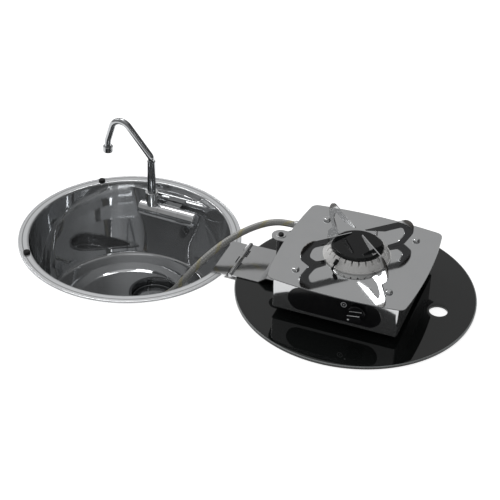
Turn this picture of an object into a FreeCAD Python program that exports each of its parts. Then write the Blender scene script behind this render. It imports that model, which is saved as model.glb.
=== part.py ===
import FreeCAD, Part
import math
import os
from types import SimpleNamespace

import Sketcher

# Round inset sink with a folding tap, and a hinged glass lid that carries a one-burner gas hob.
# Millimetres. The origin is the middle of the sink on the worktop, +Z up, +X towards the open lid.

# Driving dimensions, in the order of the pieces. Angles are in degrees.
SIZES = {
    # bowl, pressed from sheet, with a rolled rim that lies on the worktop
    "rim_width": 20.0,
    "rim_height": 3.0,
    "rim_round": 2.4,
    "mouth_radius": 180.0,
    "mouth_round": 4.0,
    "bowl_sheet": 1.2,
    "bowl_depth": 149.0,
    "wall_foot_radius": 166.0,
    "wall_foot_round": 15.0,
    "floor_ring_radius": 150.0,
    "floor_flat_radius": 115.0,
    "floor_drop": 6.0,
    "facet_angle": 88.0,
    "facet_distance": 164.0,
    "facet_ledge": 9.0,
    "gasket_width": 12.0,
    "gasket_inset": 2.0,
    "bumper_height": 5.0,
    "bumper_radius": 6.2,
    "bumper_back_angle": 131.5,
    "bumper_front_angle": -139.0,
    # waste
    "drain_side": 21.0,
    "drain_back": 54.0,
    "cup_radius": 42.4,
    "cup_wall": 1.2,
    "cup_depth": 15.0,
    "cup_lip": 4.0,
    "seal_thickness": 1.5,
    "seal_width": 5.0,
    "backnut_height": 6.0,
    "spigot_radius": 19.0,
    "spigot_bore": 15.0,
    "spigot_length": 16.0,
    "strainer_thickness": 1.2,
    "strainer_stud_radius": 6.0,
    "strainer_stud_height": 4.5,
    "strainer_hole_radius": 3.0,
    "strainer_outer_ring": 31.0,
    "strainer_inner_ring": 17.0,
    "tail_radius": 14.0,
    "tail_bore": 11.5,
    "tail_length": 48.0,
    "tail_flange": 3.0,
    "tail_neck": 13.4,
    "tail_neck_length": 6.0,
    "tail_bevel": 1.0,
    "drain_nut_wall": 5.5,
    "drain_nut_grip": 11.0,
    # tap
    "tap_reach": 142.3,
    "tap_depth": 33.8,
    "tap_radius": 14.5,
    "tap_end_round": 3.5,
    "head_end": 52.3,
    "head_length": 41.0,
    "body_length": 41.0,
    "tap_gap": 0.4,
    "knob_length": 33.4,
    "head_pivot_radius": 9.0,
    "head_pivot_length": 14.0,
    "spindle_radius": 6.0,
    "spindle_reach": 12.0,
    "bracket_width": 34.0,
    "bracket_drop": 9.0,
    "bracket_rise": 13.4,
    "tap_gasket": 2.0,
    "stud_radius": 8.0,
    "stud_length": 24.0,
    "tail_pipe_radius": 5.0,
    "tail_pipe_length": 22.0,
    "wall_nut_radius": 14.0,
    "wall_nut_height": 8.0,
    "boss_radius": 10.0,
    "boss_top": 3.0,
    "riser_offset": 27.7,
    "riser_radius": 7.75,
    "riser_wall": 1.4,
    "riser_top": 72.0,
    "collar_wall": 2.1,
    "collar_low": 13.0,
    "collar_high": 6.0,
    "collar_lip": 2.0,
    "spout_angle": 174.0,
    "spout_radius": 6.2,
    "spout_wall": 1.0,
    "spout_sunk": 30.0,
    "spout_elbow_height": 79.5,
    "spout_elbow_round": 13.0,
    "spout_peak_reach": 71.6,
    "spout_peak_height": 157.9,
    "spout_peak_round": 21.0,
    "spout_drop_reach": 93.6,
    "spout_drop_height": 88.0,
    "spout_drop_round": 40.0,
    "spout_end_height": 69.5,
    "aerator_radius": 9.4,
    "aerator_low": 65.5,
    "aerator_high": 77.0,
    "aerator_insert_radius": 7.8,
    # lid and hinge
    "hinge_gap": 5.0,
    "knuckle_radius": 4.0,
    "pin_radius": 2.0,
    "pin_head_radius": 3.2,
    "pin_head_length": 2.0,
    "leaf_width": 100.0,
    "leaf_side": 3.5,
    "leaf_thickness": 2.0,
    "leaf_overhang": 3.0,
    "knuckle_gap": 0.4,
    "leaf_relief": 3.4,
    "glass_overhang": 7.0,
    "glass_thickness": 5.0,
    "glass_bevel": 0.8,
    "finger_hole_radius": 15.5,
    "finger_hole_reach": 147.0,
    "bracket_flat": 52.0,
    "bracket_slope": 14.0,
    "bracket_tongue": 130.0,
    "case_lift": 13.0,
    "spacer_radius": 9.0,
    "spacer_half_x": 78.0,
    "spacer_half_y": 80.0,
    # hob casing and top plate
    "hob_shift": -2.5,
    "case_half_x": 108.0,
    "case_half_y": 114.0,
    "case_round": 4.0,
    "case_sheet": 1.2,
    "case_height": 58.0,
    "panel_half_length": 80.0,
    "panel_half_height": 22.0,
    "panel_thickness": 0.8,
    "panel_rise": 28.0,
    "plate_half": 117.5,
    "plate_bow": 9.0,
    "plate_round": 13.0,
    "plate_thickness": 2.0,
    "lug_reach": 137.5,
    "lug_side": 4.0,
    "lug_half": 16.0,
    "screw_half": 80.5,
    "screw_head_radius": 6.8,
    "screw_head_height": 4.0,
    "screw_shank_radius": 2.0,
    "screw_shank_length": 8.0,
    "carrier_half": 95.0,
    "carrier_sheet": 1.5,
    # burner
    "base_radius": 36.0,
    "base_wall": 3.0,
    "base_flange": 48.0,
    "base_flange_height": 2.0,
    "base_rise": 10.0,
    "base_drop": 10.0,
    "mixer_radius": 12.0,
    "mixer_bore": 5.0,
    "mixer_length": 18.0,
    "crown_foot": 57.5,
    "crown_foot_height": 2.4,
    "crown_groove": 0.8,
    "crown_flank": 55.8,
    "crown_top": 47.0,
    "crown_bore": 37.0,
    "crown_height": 17.0,
    "crown_seat": 44.0,
    "slot_width": 2.6,
    "slot_depth": 6.5,
    "slot_count": 26,
    "cap_radius": 44.5,
    "cap_height": 5.0,
    "cap_round": 1.8,
    "cap_skirt": 3.0,
    "injector_radius": 8.0,
    "injector_height": 18.0,
    "electrode_ring": 60.2,
    "electrode_angle": -115.0,
    "electrode_lean": 22.0,
    "electrode_wire_radius": 1.2,
    "electrode_wire_length": 11.3,
    "electrode_bush_radius": 2.2,
    "electrode_bush_rise": 1.2,
    "electrode_bead_radius": 3.6,
    "electrode_bead_length": 9.5,
    "thermocouple_angle": 75.0,
    "thermocouple_radius": 2.2,
    "thermocouple_height": 19.0,
    "support_thickness": 2.0,
    "support_height": 49.0,
    "support_nose": 106.0,
    "support_nose_round": 22.0,
    "support_foot_start": 58.0,
    "support_foot_end": 90.0,
    "foot_round": 7.0,
    "finger_start": 13.0,
    "finger_root": 50.0,
    "finger_depth": 13.5,
    "finger_tip_depth": 2.5,
    "hook_round": 9.0,
    "hook_top_reach": 84.0,
    "hook_top_height": 36.0,
    "hook_side_reach": 90.5,
    "hook_side_height": 20.0,
    "hook_low_reach": 78.0,
    "hook_low_height": 7.5,
    "hook_foot_height": 6.0,
    "tongue_depth": 3.2,
    "tongue_half": 8.0,
    # gas controls
    "knob_side": 39.7,
    "knob_rise": 31.0,
    "knob_radius": 15.0,
    "knob_base_height": 3.0,
    "knob_grip_height": 17.0,
    "knob_grip_half_length": 11.6,
    "knob_grip_half_width": 5.5,
    "knob_grip_turn": 9.0,
    "knob_travel_gap": 3.6,
    "valve_half_x": 15.0,
    "valve_half_z": 12.0,
    "valve_depth": 36.0,
    "valve_neck_radius": 10.0,
    "valve_neck_length": 6.0,
    "valve_bore_depth": 18.0,
    "valve_spindle_radius": 4.0,
    "valve_spindle_inside": 10.0,
    "valve_spindle_outside": 17.0,
    "inlet_back": 70.5,
    "inlet_rise": 40.5,
    "inlet_hex_radius": 10.0,
    "inlet_hex_length": 7.0,
    "inlet_nipple_radius": 3.5,
    "inlet_nipple_length": 16.0,
    "pipe_radius": 4.0,
    "pipe_round": 18.0,
    "igniter_radius": 7.0,
    "igniter_flange": 8.8,
    "igniter_flange_height": 1.2,
    "igniter_length": 40.0,
    "igniter_bore": 5.0,
    "igniter_nut_radius": 10.0,
    "igniter_nut_height": 6.0,
    "button_radius": 4.7,
    "button_stand": 4.0,
    "button_length": 36.0,
    # gas hose
    "hose_radius": 6.0,
    "ferrule_radius": 8.0,
    "ferrule_length": 21.0,
    "gland_depth": 100.0,
    "gland_seal": 3.0,
    "gland_hex_radius": 13.0,
    "gland_hex_length": 6.0,
    "gland_stem_radius": 8.5,
    "gland_stem_length": 22.0,
    "gland_nut_height": 7.0,
    "gas_tail_length": 26.0,
    # clearances
    "running_fit": 0.15,
    "loose_fit": 0.4,
}

# Middle line of the gas hose from the hob's inlet over the hinge to the gland, chosen by hand.
HOSE_ROUTE = [
    (285.4, 70.5, 58.5),
    (264.3, 70.5, 58.5),
    (244.2, 64.9, 56.0),
    (226.1, 54.3, 51.8),
    (210.5, 40.3, 47.3),
    (195.5, 23.5, 41.6),
    (181.9, 6.1, 34.6),
    (170.1, -10.3, 26.1),
    (158.5, -25.6, 15.8),
    (147.0, -39.0, 3.1),
    (135.5, -49.7, -12.3),
    (123.4, -56.7, -30.6),
    (110.0, -59.0, -48.9),
    (94.1, -57.8, -64.3),
    (75.5, -56.4, -76.2),
    (55.4, -58.5, -84.9),
    (35.8, -66.4, -91.1),
    (19.0, -79.7, -95.5),
    (6.6, -97.6, -98.5),
    (0.0, -118.5, -100.0),
    (0.0, -140.4, -100.0),
]


class Size:
    """A number together with the expression on the sheet that gives it."""

    def __init__(self, text, value):
        self.text = text
        self.value = value

    @staticmethod
    def of(other):
        if isinstance(other, Size):
            return other
        return Size(f"({float(other)})", float(other))

    def joined(self, sign, other, value):
        return Size(f"({self.text} {sign} {other.text})", value)

    def __add__(self, other):
        other = Size.of(other)
        return self.joined("+", other, self.value + other.value)

    def __sub__(self, other):
        other = Size.of(other)
        return self.joined("-", other, self.value - other.value)

    def __mul__(self, other):
        other = Size.of(other)
        return self.joined("*", other, self.value * other.value)

    def __truediv__(self, other):
        other = Size.of(other)
        return self.joined("/", other, self.value / other.value)

    def __neg__(self):
        return Size(f"(-1 * {self.text})", -self.value)

    __radd__ = __add__
    __rmul__ = __mul__


def cosine(angle):
    return Size(f"cos({angle.text})", math.cos(math.radians(angle.value)))


def sine(angle):
    return Size(f"sin({angle.text})", math.sin(math.radians(angle.value)))


doc = FreeCAD.newDocument("hob_sink")
sheet = doc.addObject("Spreadsheet::Sheet", "Sizes")
for row, (alias, number) in enumerate(SIZES.items(), start=1):
    sheet.set(f"A{row}", str(number))
    sheet.setAlias(f"A{row}", alias)
doc.recompute()

size = SimpleNamespace(**{alias: Size(f"Sizes.{alias}", number) for alias, number in SIZES.items()})
ZERO = Size("0", 0.0)

# Sizes that follow from others, so that rim, glass, hinge and bumpers keep together.
size.rim_radius = size.mouth_radius + size.rim_width
size.bumper_ring_radius = size.mouth_radius + size.mouth_round / 2 + size.bumper_radius
size.glass_radius = size.rim_radius + size.glass_overhang
size.hinge_reach = size.glass_radius + size.hinge_gap
size.sink_leaf_start = size.mouth_radius - size.leaf_overhang

UP = FreeCAD.Vector(0, 0, 1)
TO_BACK = FreeCAD.Rotation(FreeCAD.Vector(1, 0, 0), -90)
TO_FRONT = FreeCAD.Rotation(FreeCAD.Vector(1, 0, 0), 90)
TO_LEFT = FreeCAD.Rotation(FreeCAD.Vector(0, 1, 0), -90)
pieces = []


def keep(item, label):
    """Name a finished sub-part and list it for export."""
    item.Label = label
    pieces.append(item)
    return item


def place(item, x=ZERO, y=ZERO, z=ZERO, turn=None):
    """Set an object's place, bound to the sheet, and its fixed turn."""
    spot = FreeCAD.Vector(x.value, y.value, z.value)
    item.Placement = FreeCAD.Placement(spot, turn or FreeCAD.Rotation())
    for axis, length in (("x", x), ("y", y), ("z", z)):
        item.setExpression(f"Placement.Base.{axis}", length.text)
    return item


def bind(sketch, kind, elements, length):
    """Add a dimension to a sketch and bind it to the sheet."""
    index = sketch.addConstraint(Sketcher.Constraint(kind, *elements, length.value))
    sketch.setExpression(f"Constraints[{index}]", length.text)


def fix_point(sketch, shape, end, x, y):
    """Bind a point of a sketch to its two distances from the sketch's origin."""
    for kind, axis, length in (("DistanceX", -2, x), ("DistanceY", -1, y)):
        if length is ZERO:
            sketch.addConstraint(Sketcher.Constraint("PointOnObject", shape, end, axis))
        else:
            bind(sketch, kind, (-1, 1, shape, end), length)


def add_circle(sketch, x, y, radius):
    middle = FreeCAD.Vector(x.value, y.value, 0)
    shape = sketch.addGeometry(Part.Circle(middle, UP, radius.value))
    fix_point(sketch, shape, 3, x, y)
    bind(sketch, "Radius", (shape,), radius)


def rounding(before, corner, after, radius):
    """Where a round of this radius leaves the two sides of a corner, and its arc."""
    inward = (corner - before).normalize()
    outward = (after - corner).normalize()
    left = inward.x * outward.y - inward.y * outward.x > 0
    trim = radius * math.tan(inward.getAngle(outward) / 2)
    first = corner - inward * trim
    last = corner + outward * trim
    side = FreeCAD.Vector(-inward.y, inward.x, 0) * (radius if left else -radius)
    middle = first + side
    ends = (first, last) if left else (last, first)
    angles = [math.atan2(end.y - middle.y, end.x - middle.x) for end in ends]
    arc = Part.ArcOfCircle(Part.Circle(middle, UP, radius), *angles)
    return first, last, arc, left


def add_outline(sketch, corners):
    """A closed outline of straight sides through corners, each (x, y) or (x, y, round)."""
    spots = [FreeCAD.Vector(x.value, y.value, 0) for x, y, *_ in corners]
    count = len(corners)
    entries = []
    for index, (x, y, *radius) in enumerate(corners):
        mark = sketch.addGeometry(Part.Point(spots[index]), True)
        fix_point(sketch, mark, 1, x, y)
        entry = SimpleNamespace(mark=mark, first=spots[index], last=spots[index], arc=None)
        if radius:
            before, after = spots[index - 1], spots[(index + 1) % count]
            bend = rounding(before, spots[index], after, radius[0].value)
            entry.first, entry.last, arc, entry.left = bend
            entry.arc = sketch.addGeometry(arc)
            entry.radius = radius[0]
        entries.append(entry)
    sides = []
    for index, entry in enumerate(entries):
        following = entries[(index + 1) % count]
        sides.append(sketch.addGeometry(Part.LineSegment(entry.last, following.first)))
    for index, entry in enumerate(entries):
        arriving, leaving = sides[index - 1], sides[index]
        if entry.arc is None:
            sketch.addConstraint(Sketcher.Constraint("Coincident", arriving, 2, entry.mark, 1))
            sketch.addConstraint(Sketcher.Constraint("Coincident", leaving, 1, entry.mark, 1))
            continue
        start, end = (1, 2) if entry.left else (2, 1)
        sketch.addConstraint(Sketcher.Constraint("PointOnObject", entry.mark, 1, arriving))
        sketch.addConstraint(Sketcher.Constraint("PointOnObject", entry.mark, 1, leaving))
        sketch.addConstraint(Sketcher.Constraint("Tangent", arriving, 2, entry.arc, start))
        sketch.addConstraint(Sketcher.Constraint("Tangent", entry.arc, end, leaving, 1))
        bind(sketch, "Radius", (entry.arc,), entry.radius)


def new_body(name):
    return doc.addObject("PartDesign::Body", name)


def new_sketch(body, role):
    """An empty sketch on one of the body's own origin planes."""
    plane = next(item for item in body.Origin.OriginFeatures if item.Role == role)
    sketch = body.newObject("Sketcher::SketchObject", f"{body.Name}_sketch")
    sketch.AttachmentSupport = [(plane, "")]
    sketch.MapMode = "FlatFace"
    return sketch


def revolved(name, corners):
    """A body turned about its Z axis from an outline of (radius, height) corners."""
    body = new_body(name)
    sketch = new_sketch(body, "XZ_Plane")
    add_outline(sketch, corners)
    turning = body.newObject("PartDesign::Revolution", f"{name}_turn")
    turning.Profile = sketch
    turning.ReferenceAxis = (sketch, ["V_Axis"])
    turning.Angle = 360
    return body


def add_pad(body, sketch, height):
    pad = body.newObject("PartDesign::Pad", f"{body.Name}_pad")
    pad.Profile = sketch
    pad.setExpression("Length", height.text)
    return pad


def padded(name, corners, height, role="XY_Plane"):
    """A body raised from an outline."""
    body = new_body(name)
    sketch = new_sketch(body, role)
    add_outline(sketch, corners)
    add_pad(body, sketch, height)
    return body


def ring(name, inner, outer, low, high):
    return revolved(name, [(inner, low), (outer, low), (outer, high), (inner, high)])


def cylinder(name, radius, height):
    item = doc.addObject("Part::Cylinder", name)
    item.setExpression("Radius", radius.text)
    item.setExpression("Height", height.text)
    return item


def box(name, length, width, height):
    item = doc.addObject("Part::Box", name)
    item.setExpression("Length", length.text)
    item.setExpression("Width", width.text)
    item.setExpression("Height", height.text)
    return item


def cut(name, base, *tools):
    """The base less every tool."""
    result = base
    for number, tool in enumerate(tools):
        taken = doc.addObject("Part::Cut", f"{name}_cut{number}")
        taken.Base = result
        taken.Tool = tool
        result = taken
    return result


def fused(name, *items):
    result = doc.addObject("Part::MultiFuse", name)
    result.Shapes = list(items)
    return result


def common(name, first, second):
    result = doc.addObject("Part::MultiCommon", name)
    result.Shapes = [first, second]
    return result


def group(name, items):
    result = doc.addObject("Part::Compound", name)
    result.Links = list(items)
    return result


def rectangle(half_x, half_y, *radius):
    """Corners of a centred rectangle, with rounds if a radius is given."""
    return [
        (-half_x, -half_y, *radius),
        (half_x, -half_y, *radius),
        (half_x, half_y, *radius),
        (-half_x, half_y, *radius),
    ]


def hexagon(radius):
    """Corners of a hexagon on a circle of this radius, turned so that none lies on an axis."""
    angles = [Size.of(angle) for angle in range(15, 375, 60)]
    return [(radius * cosine(angle), radius * sine(angle)) for angle in angles]


def hex_nut(name, bore, radius, height, spot):
    """A hexagon nut with a plain bore, at its place."""
    blank = place(padded(f"{name}_blank", hexagon(radius), height), *spot)
    hole = place(cylinder(f"{name}_bore", bore, height), *spot)
    return cut(name, blank, hole)


# Levels and places that several pieces share.
floor_level = -(size.bowl_depth + size.floor_drop)
leaf_seat = size.rim_height
hinge_level = (size.rim_height + size.bumper_height + size.glass_thickness) / 2
glass_middle = 2 * size.hinge_reach
hob_middle = glass_middle + size.hob_shift
case_level = size.glass_thickness + size.case_lift
case_top = case_level + size.case_height
plate_top = case_top + size.plate_thickness
carrier_level = case_top - size.carrier_sheet
panel_face = -(size.case_half_y + size.panel_thickness)
knob_middle = hob_middle + size.knob_side
knob_level = case_level + size.knob_rise
inlet_level = case_level + size.inlet_rise
wall_slope = (size.mouth_radius - size.wall_foot_radius) / (size.rim_height + size.bowl_depth)
gland_level = -size.gland_depth
gland_seat = size.wall_foot_radius + wall_slope * (size.bowl_depth - size.gland_depth)


def across_facet(along, outward):
    """Place of a point on the tap, given along its axis and outward from the sink's middle."""
    x = outward * cosine(size.facet_angle) + along * sine(size.facet_angle)
    y = outward * sine(size.facet_angle) - along * cosine(size.facet_angle)
    return x, y


facet_turn = FreeCAD.Rotation(UP, size.facet_angle.value - 90)
facet_along = facet_turn.multVec(FreeCAD.Vector(1, 0, 0))
facet_outward = facet_turn.multVec(FreeCAD.Vector(0, 1, 0))
TO_FACET_AXIS = FreeCAD.Rotation(UP, facet_along)
TO_FACET_OUTWARD = FreeCAD.Rotation(UP, facet_outward)
spout_turn = FreeCAD.Rotation(UP, size.spout_angle.value)
riser_x, riser_y = across_facet(-size.riser_offset, size.tap_reach)
body_start = size.head_length + size.tap_gap - size.head_end
body_middle = body_start + size.body_length / 2


def facet_space(name, distance, top):
    """Everything beyond the flat facet of the wall, below its ledge."""
    reach = size.rim_radius
    height = 2 * size.bowl_depth
    space = box(name, 2 * reach, reach, height)
    x, y = across_facet(-reach, distance)
    return place(space, x, y, top - height, facet_turn)


def make_bowl():
    """Bowl, its wall pressed flat where the tap sits, with holes for waste, tap and hose."""
    sheet_in = size.bowl_sheet
    foot = -size.bowl_depth
    flare = size.mouth_radius + 3 * size.mouth_round
    inside = revolved("bowl_inside", [
        (ZERO, floor_level),
        (size.floor_flat_radius, floor_level),
        (size.floor_ring_radius, foot),
        (size.wall_foot_radius, foot, size.wall_foot_round),
        (size.mouth_radius, size.rim_height, size.mouth_round),
        (flare, size.rim_height),
        (flare, size.rim_height * 2),
        (ZERO, size.rim_height * 2),
    ])
    outside = revolved("bowl_outside", [
        (ZERO, floor_level - sheet_in),
        (size.floor_flat_radius + sheet_in, floor_level - sheet_in),
        (size.floor_ring_radius + sheet_in, foot - sheet_in),
        (size.wall_foot_radius + sheet_in, foot - sheet_in, size.wall_foot_round + sheet_in),
        (size.mouth_radius + sheet_in, size.rim_height - sheet_in, size.mouth_round - sheet_in),
        (size.rim_radius - sheet_in, size.rim_height - sheet_in),
        (size.rim_radius - sheet_in, ZERO),
        (size.rim_radius, ZERO),
        (size.rim_radius, size.rim_height, size.rim_round),
        (ZERO, size.rim_height),
    ])
    ledge = -size.facet_ledge
    hollow = cut("bowl_hollow", inside, facet_space("facet_inside", size.facet_distance, ledge))
    beyond = facet_space("facet_outside", size.facet_distance + sheet_in, ledge - sheet_in)
    blank = cut("bowl_blank", outside, beyond)
    waste_radius = size.cup_radius + size.cup_wall + size.loose_fit
    waste_hole = cylinder("waste_hole", waste_radius, 4 * size.floor_drop)
    place(waste_hole, size.drain_side, size.drain_back, floor_level - 2 * size.floor_drop)
    tap_hole = cylinder("tap_hole", size.stud_radius + size.loose_fit, size.rim_radius - size.tap_reach)
    tap_x, tap_y = across_facet(body_middle, size.tap_reach)
    place(tap_hole, tap_x, tap_y, -size.tap_depth, TO_FACET_OUTWARD)
    hose_hole = cylinder("hose_hole", size.gland_stem_radius + size.loose_fit, size.rim_radius / 2)
    place(hose_hole, ZERO, -(size.rim_radius / 2), gland_level, TO_FRONT)
    bowl = cut("bowl", blank, hollow, waste_hole, tap_hole, hose_hole)
    keep(bowl, "sink_bowl")
    return inside, outside


def make_rim_trim():
    """Sealing ring under the rim, and the two rubber buttons that carry the closed glass."""
    outer = size.rim_radius - size.bowl_sheet - size.gasket_inset / 4
    gasket = ring("rim_gasket", outer - size.gasket_width, outer, ZERO, size.rim_height - size.bowl_sheet)
    keep(gasket, "rim_gasket")
    buttons = []
    for angle in (size.bumper_back_angle, size.bumper_front_angle):
        button = revolved("bumper", [
            (ZERO, ZERO),
            (size.bumper_radius, ZERO),
            (size.bumper_radius, size.bumper_height, size.bumper_radius / 3),
            (ZERO, size.bumper_height),
        ])
        x = size.bumper_ring_radius * cosine(angle)
        y = size.bumper_ring_radius * sine(angle)
        buttons.append(place(button, x, y, size.rim_height))
    keep(group("bumpers", buttons), "rim_bumpers")


def make_waste():
    """Waste cup in the bowl's floor, with strainer, seals, nuts and hose tail."""
    def set_in_floor(item, label):
        keep(place(item, size.drain_side, size.drain_back, floor_level), label)

    wall = size.cup_radius + size.cup_wall
    base = -(size.cup_depth + size.cup_wall)
    spigot_end = base - size.spigot_length
    cup = revolved("cup", [
        (size.spigot_bore, -size.cup_depth),
        (size.cup_radius, -size.cup_depth, size.cup_wall * 2),
        (size.cup_radius, size.cup_wall, size.cup_wall / 2),
        (wall + size.cup_lip, size.cup_wall, size.cup_wall / 2),
        (wall + size.cup_lip, ZERO),
        (wall, ZERO),
        (wall, base),
        (size.spigot_radius, base),
        (size.spigot_radius, spigot_end),
        (size.spigot_bore, spigot_end),
    ])
    set_in_floor(cup, "drain_cup")
    seal_inner = wall + size.running_fit
    under = -size.bowl_sheet
    seal_low = under - size.seal_thickness
    seal_outer = seal_inner + size.seal_width
    set_in_floor(ring("seal", seal_inner, seal_outer, seal_low, under), "drain_seal")
    nut_low = seal_low - size.backnut_height
    set_in_floor(ring("backnut", seal_inner, seal_outer, nut_low, seal_low), "drain_backnut")

    strainer = revolved("strainer", [
        (ZERO, ZERO),
        (size.cup_radius - size.cup_wall * 2, ZERO),
        (size.cup_radius - size.cup_wall * 2, size.strainer_thickness),
        (size.strainer_stud_radius, size.strainer_thickness),
        (size.strainer_stud_radius, size.strainer_stud_height, size.strainer_stud_radius / 3),
        (ZERO, size.strainer_stud_height),
    ])
    for distance, count in ((size.strainer_outer_ring, 12), (size.strainer_inner_ring, 7)):
        sketch = new_sketch(strainer, "XY_Plane")
        add_circle(sketch, distance, ZERO, size.strainer_hole_radius)
        hole = strainer.newObject("PartDesign::Pocket", "strainer_hole")
        hole.Profile = sketch
        hole.Reversed = True
        hole.setExpression("Length", (size.strainer_thickness * 2).text)
        pattern = strainer.newObject("PartDesign::PolarPattern", "strainer_holes")
        pattern.Originals = [hole]
        pattern.Axis = (sketch, ["N_Axis"])
        pattern.Angle = 360
        pattern.Occurrences = count
        strainer.Tip = pattern
    keep(place(strainer, size.drain_side, size.drain_back, floor_level - size.cup_depth), "drain_strainer")

    washer_low = spigot_end - size.seal_thickness
    flange = size.spigot_radius - size.running_fit
    set_in_floor(ring("washer", size.spigot_bore, flange, washer_low, spigot_end), "drain_washer")
    flange_low = washer_low - size.tail_flange
    tail_end = flange_low - size.tail_length
    shoulder = flange_low - size.tail_neck_length
    tail = revolved("tail", [
        (size.tail_bore, washer_low),
        (flange, washer_low),
        (flange, flange_low),
        (size.tail_neck, flange_low),
        (size.tail_neck, shoulder),
        (size.tail_radius, shoulder),
        (size.tail_radius, tail_end + size.tail_bevel),
        (size.tail_radius - size.tail_bevel, tail_end),
        (size.tail_bore, tail_end),
    ])
    set_in_floor(tail, "drain_tail")
    grip = size.spigot_radius + size.running_fit
    grip_top = flange_low + size.drain_nut_grip
    nut = revolved("drain_nut", [
        (grip, flange_low),
        (grip, grip_top),
        (grip + size.drain_nut_wall, grip_top),
        (grip + size.drain_nut_wall, flange_low - size.tail_flange),
        (size.tail_radius + size.loose_fit, flange_low - size.tail_flange),
        (size.tail_radius + size.loose_fit, flange_low),
    ])
    set_in_floor(nut, "drain_nut")


def make_tap():
    """Tap on the facet: fixed body, folding head, end knob and swivelling spout."""
    def along_axis(item, start):
        x, y = across_facet(start, size.tap_reach)
        return place(item, x, y, -size.tap_depth, TO_FACET_AXIS)

    head_start = -size.head_end
    knob_start = body_start + size.body_length + size.tap_gap
    pivot_bore = size.head_pivot_radius + size.running_fit
    spindle_bore = size.spindle_radius + size.running_fit

    barrel = revolved("tap_barrel", [
        (ZERO, -size.head_pivot_length),
        (size.head_pivot_radius, -size.head_pivot_length),
        (size.head_pivot_radius, ZERO),
        (size.tap_radius, ZERO),
        (size.tap_radius, size.body_length),
        (spindle_bore, size.body_length),
        (spindle_bore, size.body_length - size.spindle_reach - size.loose_fit),
        (ZERO, size.body_length - size.spindle_reach - size.loose_fit),
    ])
    along_axis(barrel, body_start)
    back = size.facet_distance - size.tap_gasket
    bracket_height = size.bracket_drop + size.bracket_rise
    bracket = box("tap_bracket", size.bracket_width, back - size.tap_reach, bracket_height)
    x, y = across_facet(body_middle - size.bracket_width / 2, size.tap_reach)
    place(bracket, x, y, -(size.tap_depth + size.bracket_drop), facet_turn)
    bracket_solid = cut("tap_bracket", bracket, spindle_space(knob_start, spindle_bore))
    stud = revolved("tap_stud", [
        (ZERO, -size.tap_gasket),
        (size.stud_radius, -size.tap_gasket),
        (size.stud_radius, size.stud_length),
        (size.tail_pipe_radius, size.stud_length),
        (size.tail_pipe_radius, size.stud_length + size.tail_pipe_length),
        (ZERO, size.stud_length + size.tail_pipe_length),
    ])
    x, y = across_facet(body_middle, back)
    place(stud, x, y, -size.tap_depth, TO_FACET_OUTWARD)
    keep(fused("tap_body", barrel, bracket_solid, stud), "tap_body")

    bore = size.stud_radius + size.running_fit
    gasket = ring("tap_gasket", bore, size.wall_nut_radius, ZERO, size.tap_gasket)
    keep(place(gasket, x, y, -size.tap_depth, TO_FACET_OUTWARD), "tap_gasket")
    x, y = across_facet(body_middle, size.facet_distance + size.bowl_sheet)
    spot = (x, y, -size.tap_depth, TO_FACET_OUTWARD)
    keep(hex_nut("wall_nut", bore, size.wall_nut_radius, size.wall_nut_height, spot), "tap_wall_nut")

    head_barrel = revolved("head_barrel", [
        (ZERO, ZERO),
        (size.tap_radius, ZERO, size.tap_end_round),
        (size.tap_radius, size.head_length),
        (pivot_bore, size.head_length),
        (pivot_bore, size.head_length - size.head_pivot_length - size.loose_fit - size.tap_gap),
        (ZERO, size.head_length - size.head_pivot_length - size.loose_fit - size.tap_gap),
    ])
    along_axis(head_barrel, head_start)
    axis_to_boss = size.tap_depth + size.boss_top
    boss = cylinder("head_boss", size.boss_radius, axis_to_boss - pivot_bore - size.loose_fit)
    place(boss, riser_x, riser_y, pivot_bore + size.loose_fit - size.tap_depth)
    well = cylinder("head_well", size.riser_radius + size.running_fit, 2 * size.tap_depth)
    well_floor = size.tap_radius - size.tap_depth
    place(well, riser_x, riser_y, well_floor)
    keep(cut("tap_head", fused("head_solid", head_barrel, boss), well), "tap_head")

    collar = revolved("collar", [
        (size.boss_radius + size.running_fit, -size.collar_low),
        (size.boss_radius + size.collar_wall, -size.collar_low),
        (size.boss_radius + size.collar_wall, size.collar_high, size.collar_wall / 2),
        (size.riser_radius + size.running_fit, size.collar_high),
        (size.riser_radius + size.running_fit, size.collar_high - size.collar_lip),
        (size.boss_radius + size.running_fit, size.collar_high - size.collar_lip),
    ])
    keep(place(collar, riser_x, riser_y), "spout_collar")

    knob = revolved("water_knob", [
        (spindle_bore, ZERO),
        (size.tap_radius, ZERO),
        (size.tap_radius, size.knob_length, size.tap_end_round),
        (ZERO, size.knob_length),
        (ZERO, size.knob_length / 2),
        (spindle_bore, size.knob_length / 2),
    ])
    keep(along_axis(knob, knob_start), "water_knob")
    spindle = cylinder("water_spindle", size.spindle_radius, size.spindle_reach + size.knob_length / 2)
    keep(along_axis(spindle, knob_start - size.spindle_reach), "water_spindle")


def spindle_space(start, radius):
    """Room for the water spindle in the bracket."""
    space = cylinder("spindle_space", radius, size.spindle_reach * 2)
    x, y = across_facet(start - size.spindle_reach - size.loose_fit, size.tap_reach)
    return place(space, x, y, -size.tap_depth, TO_FACET_AXIS)


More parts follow.
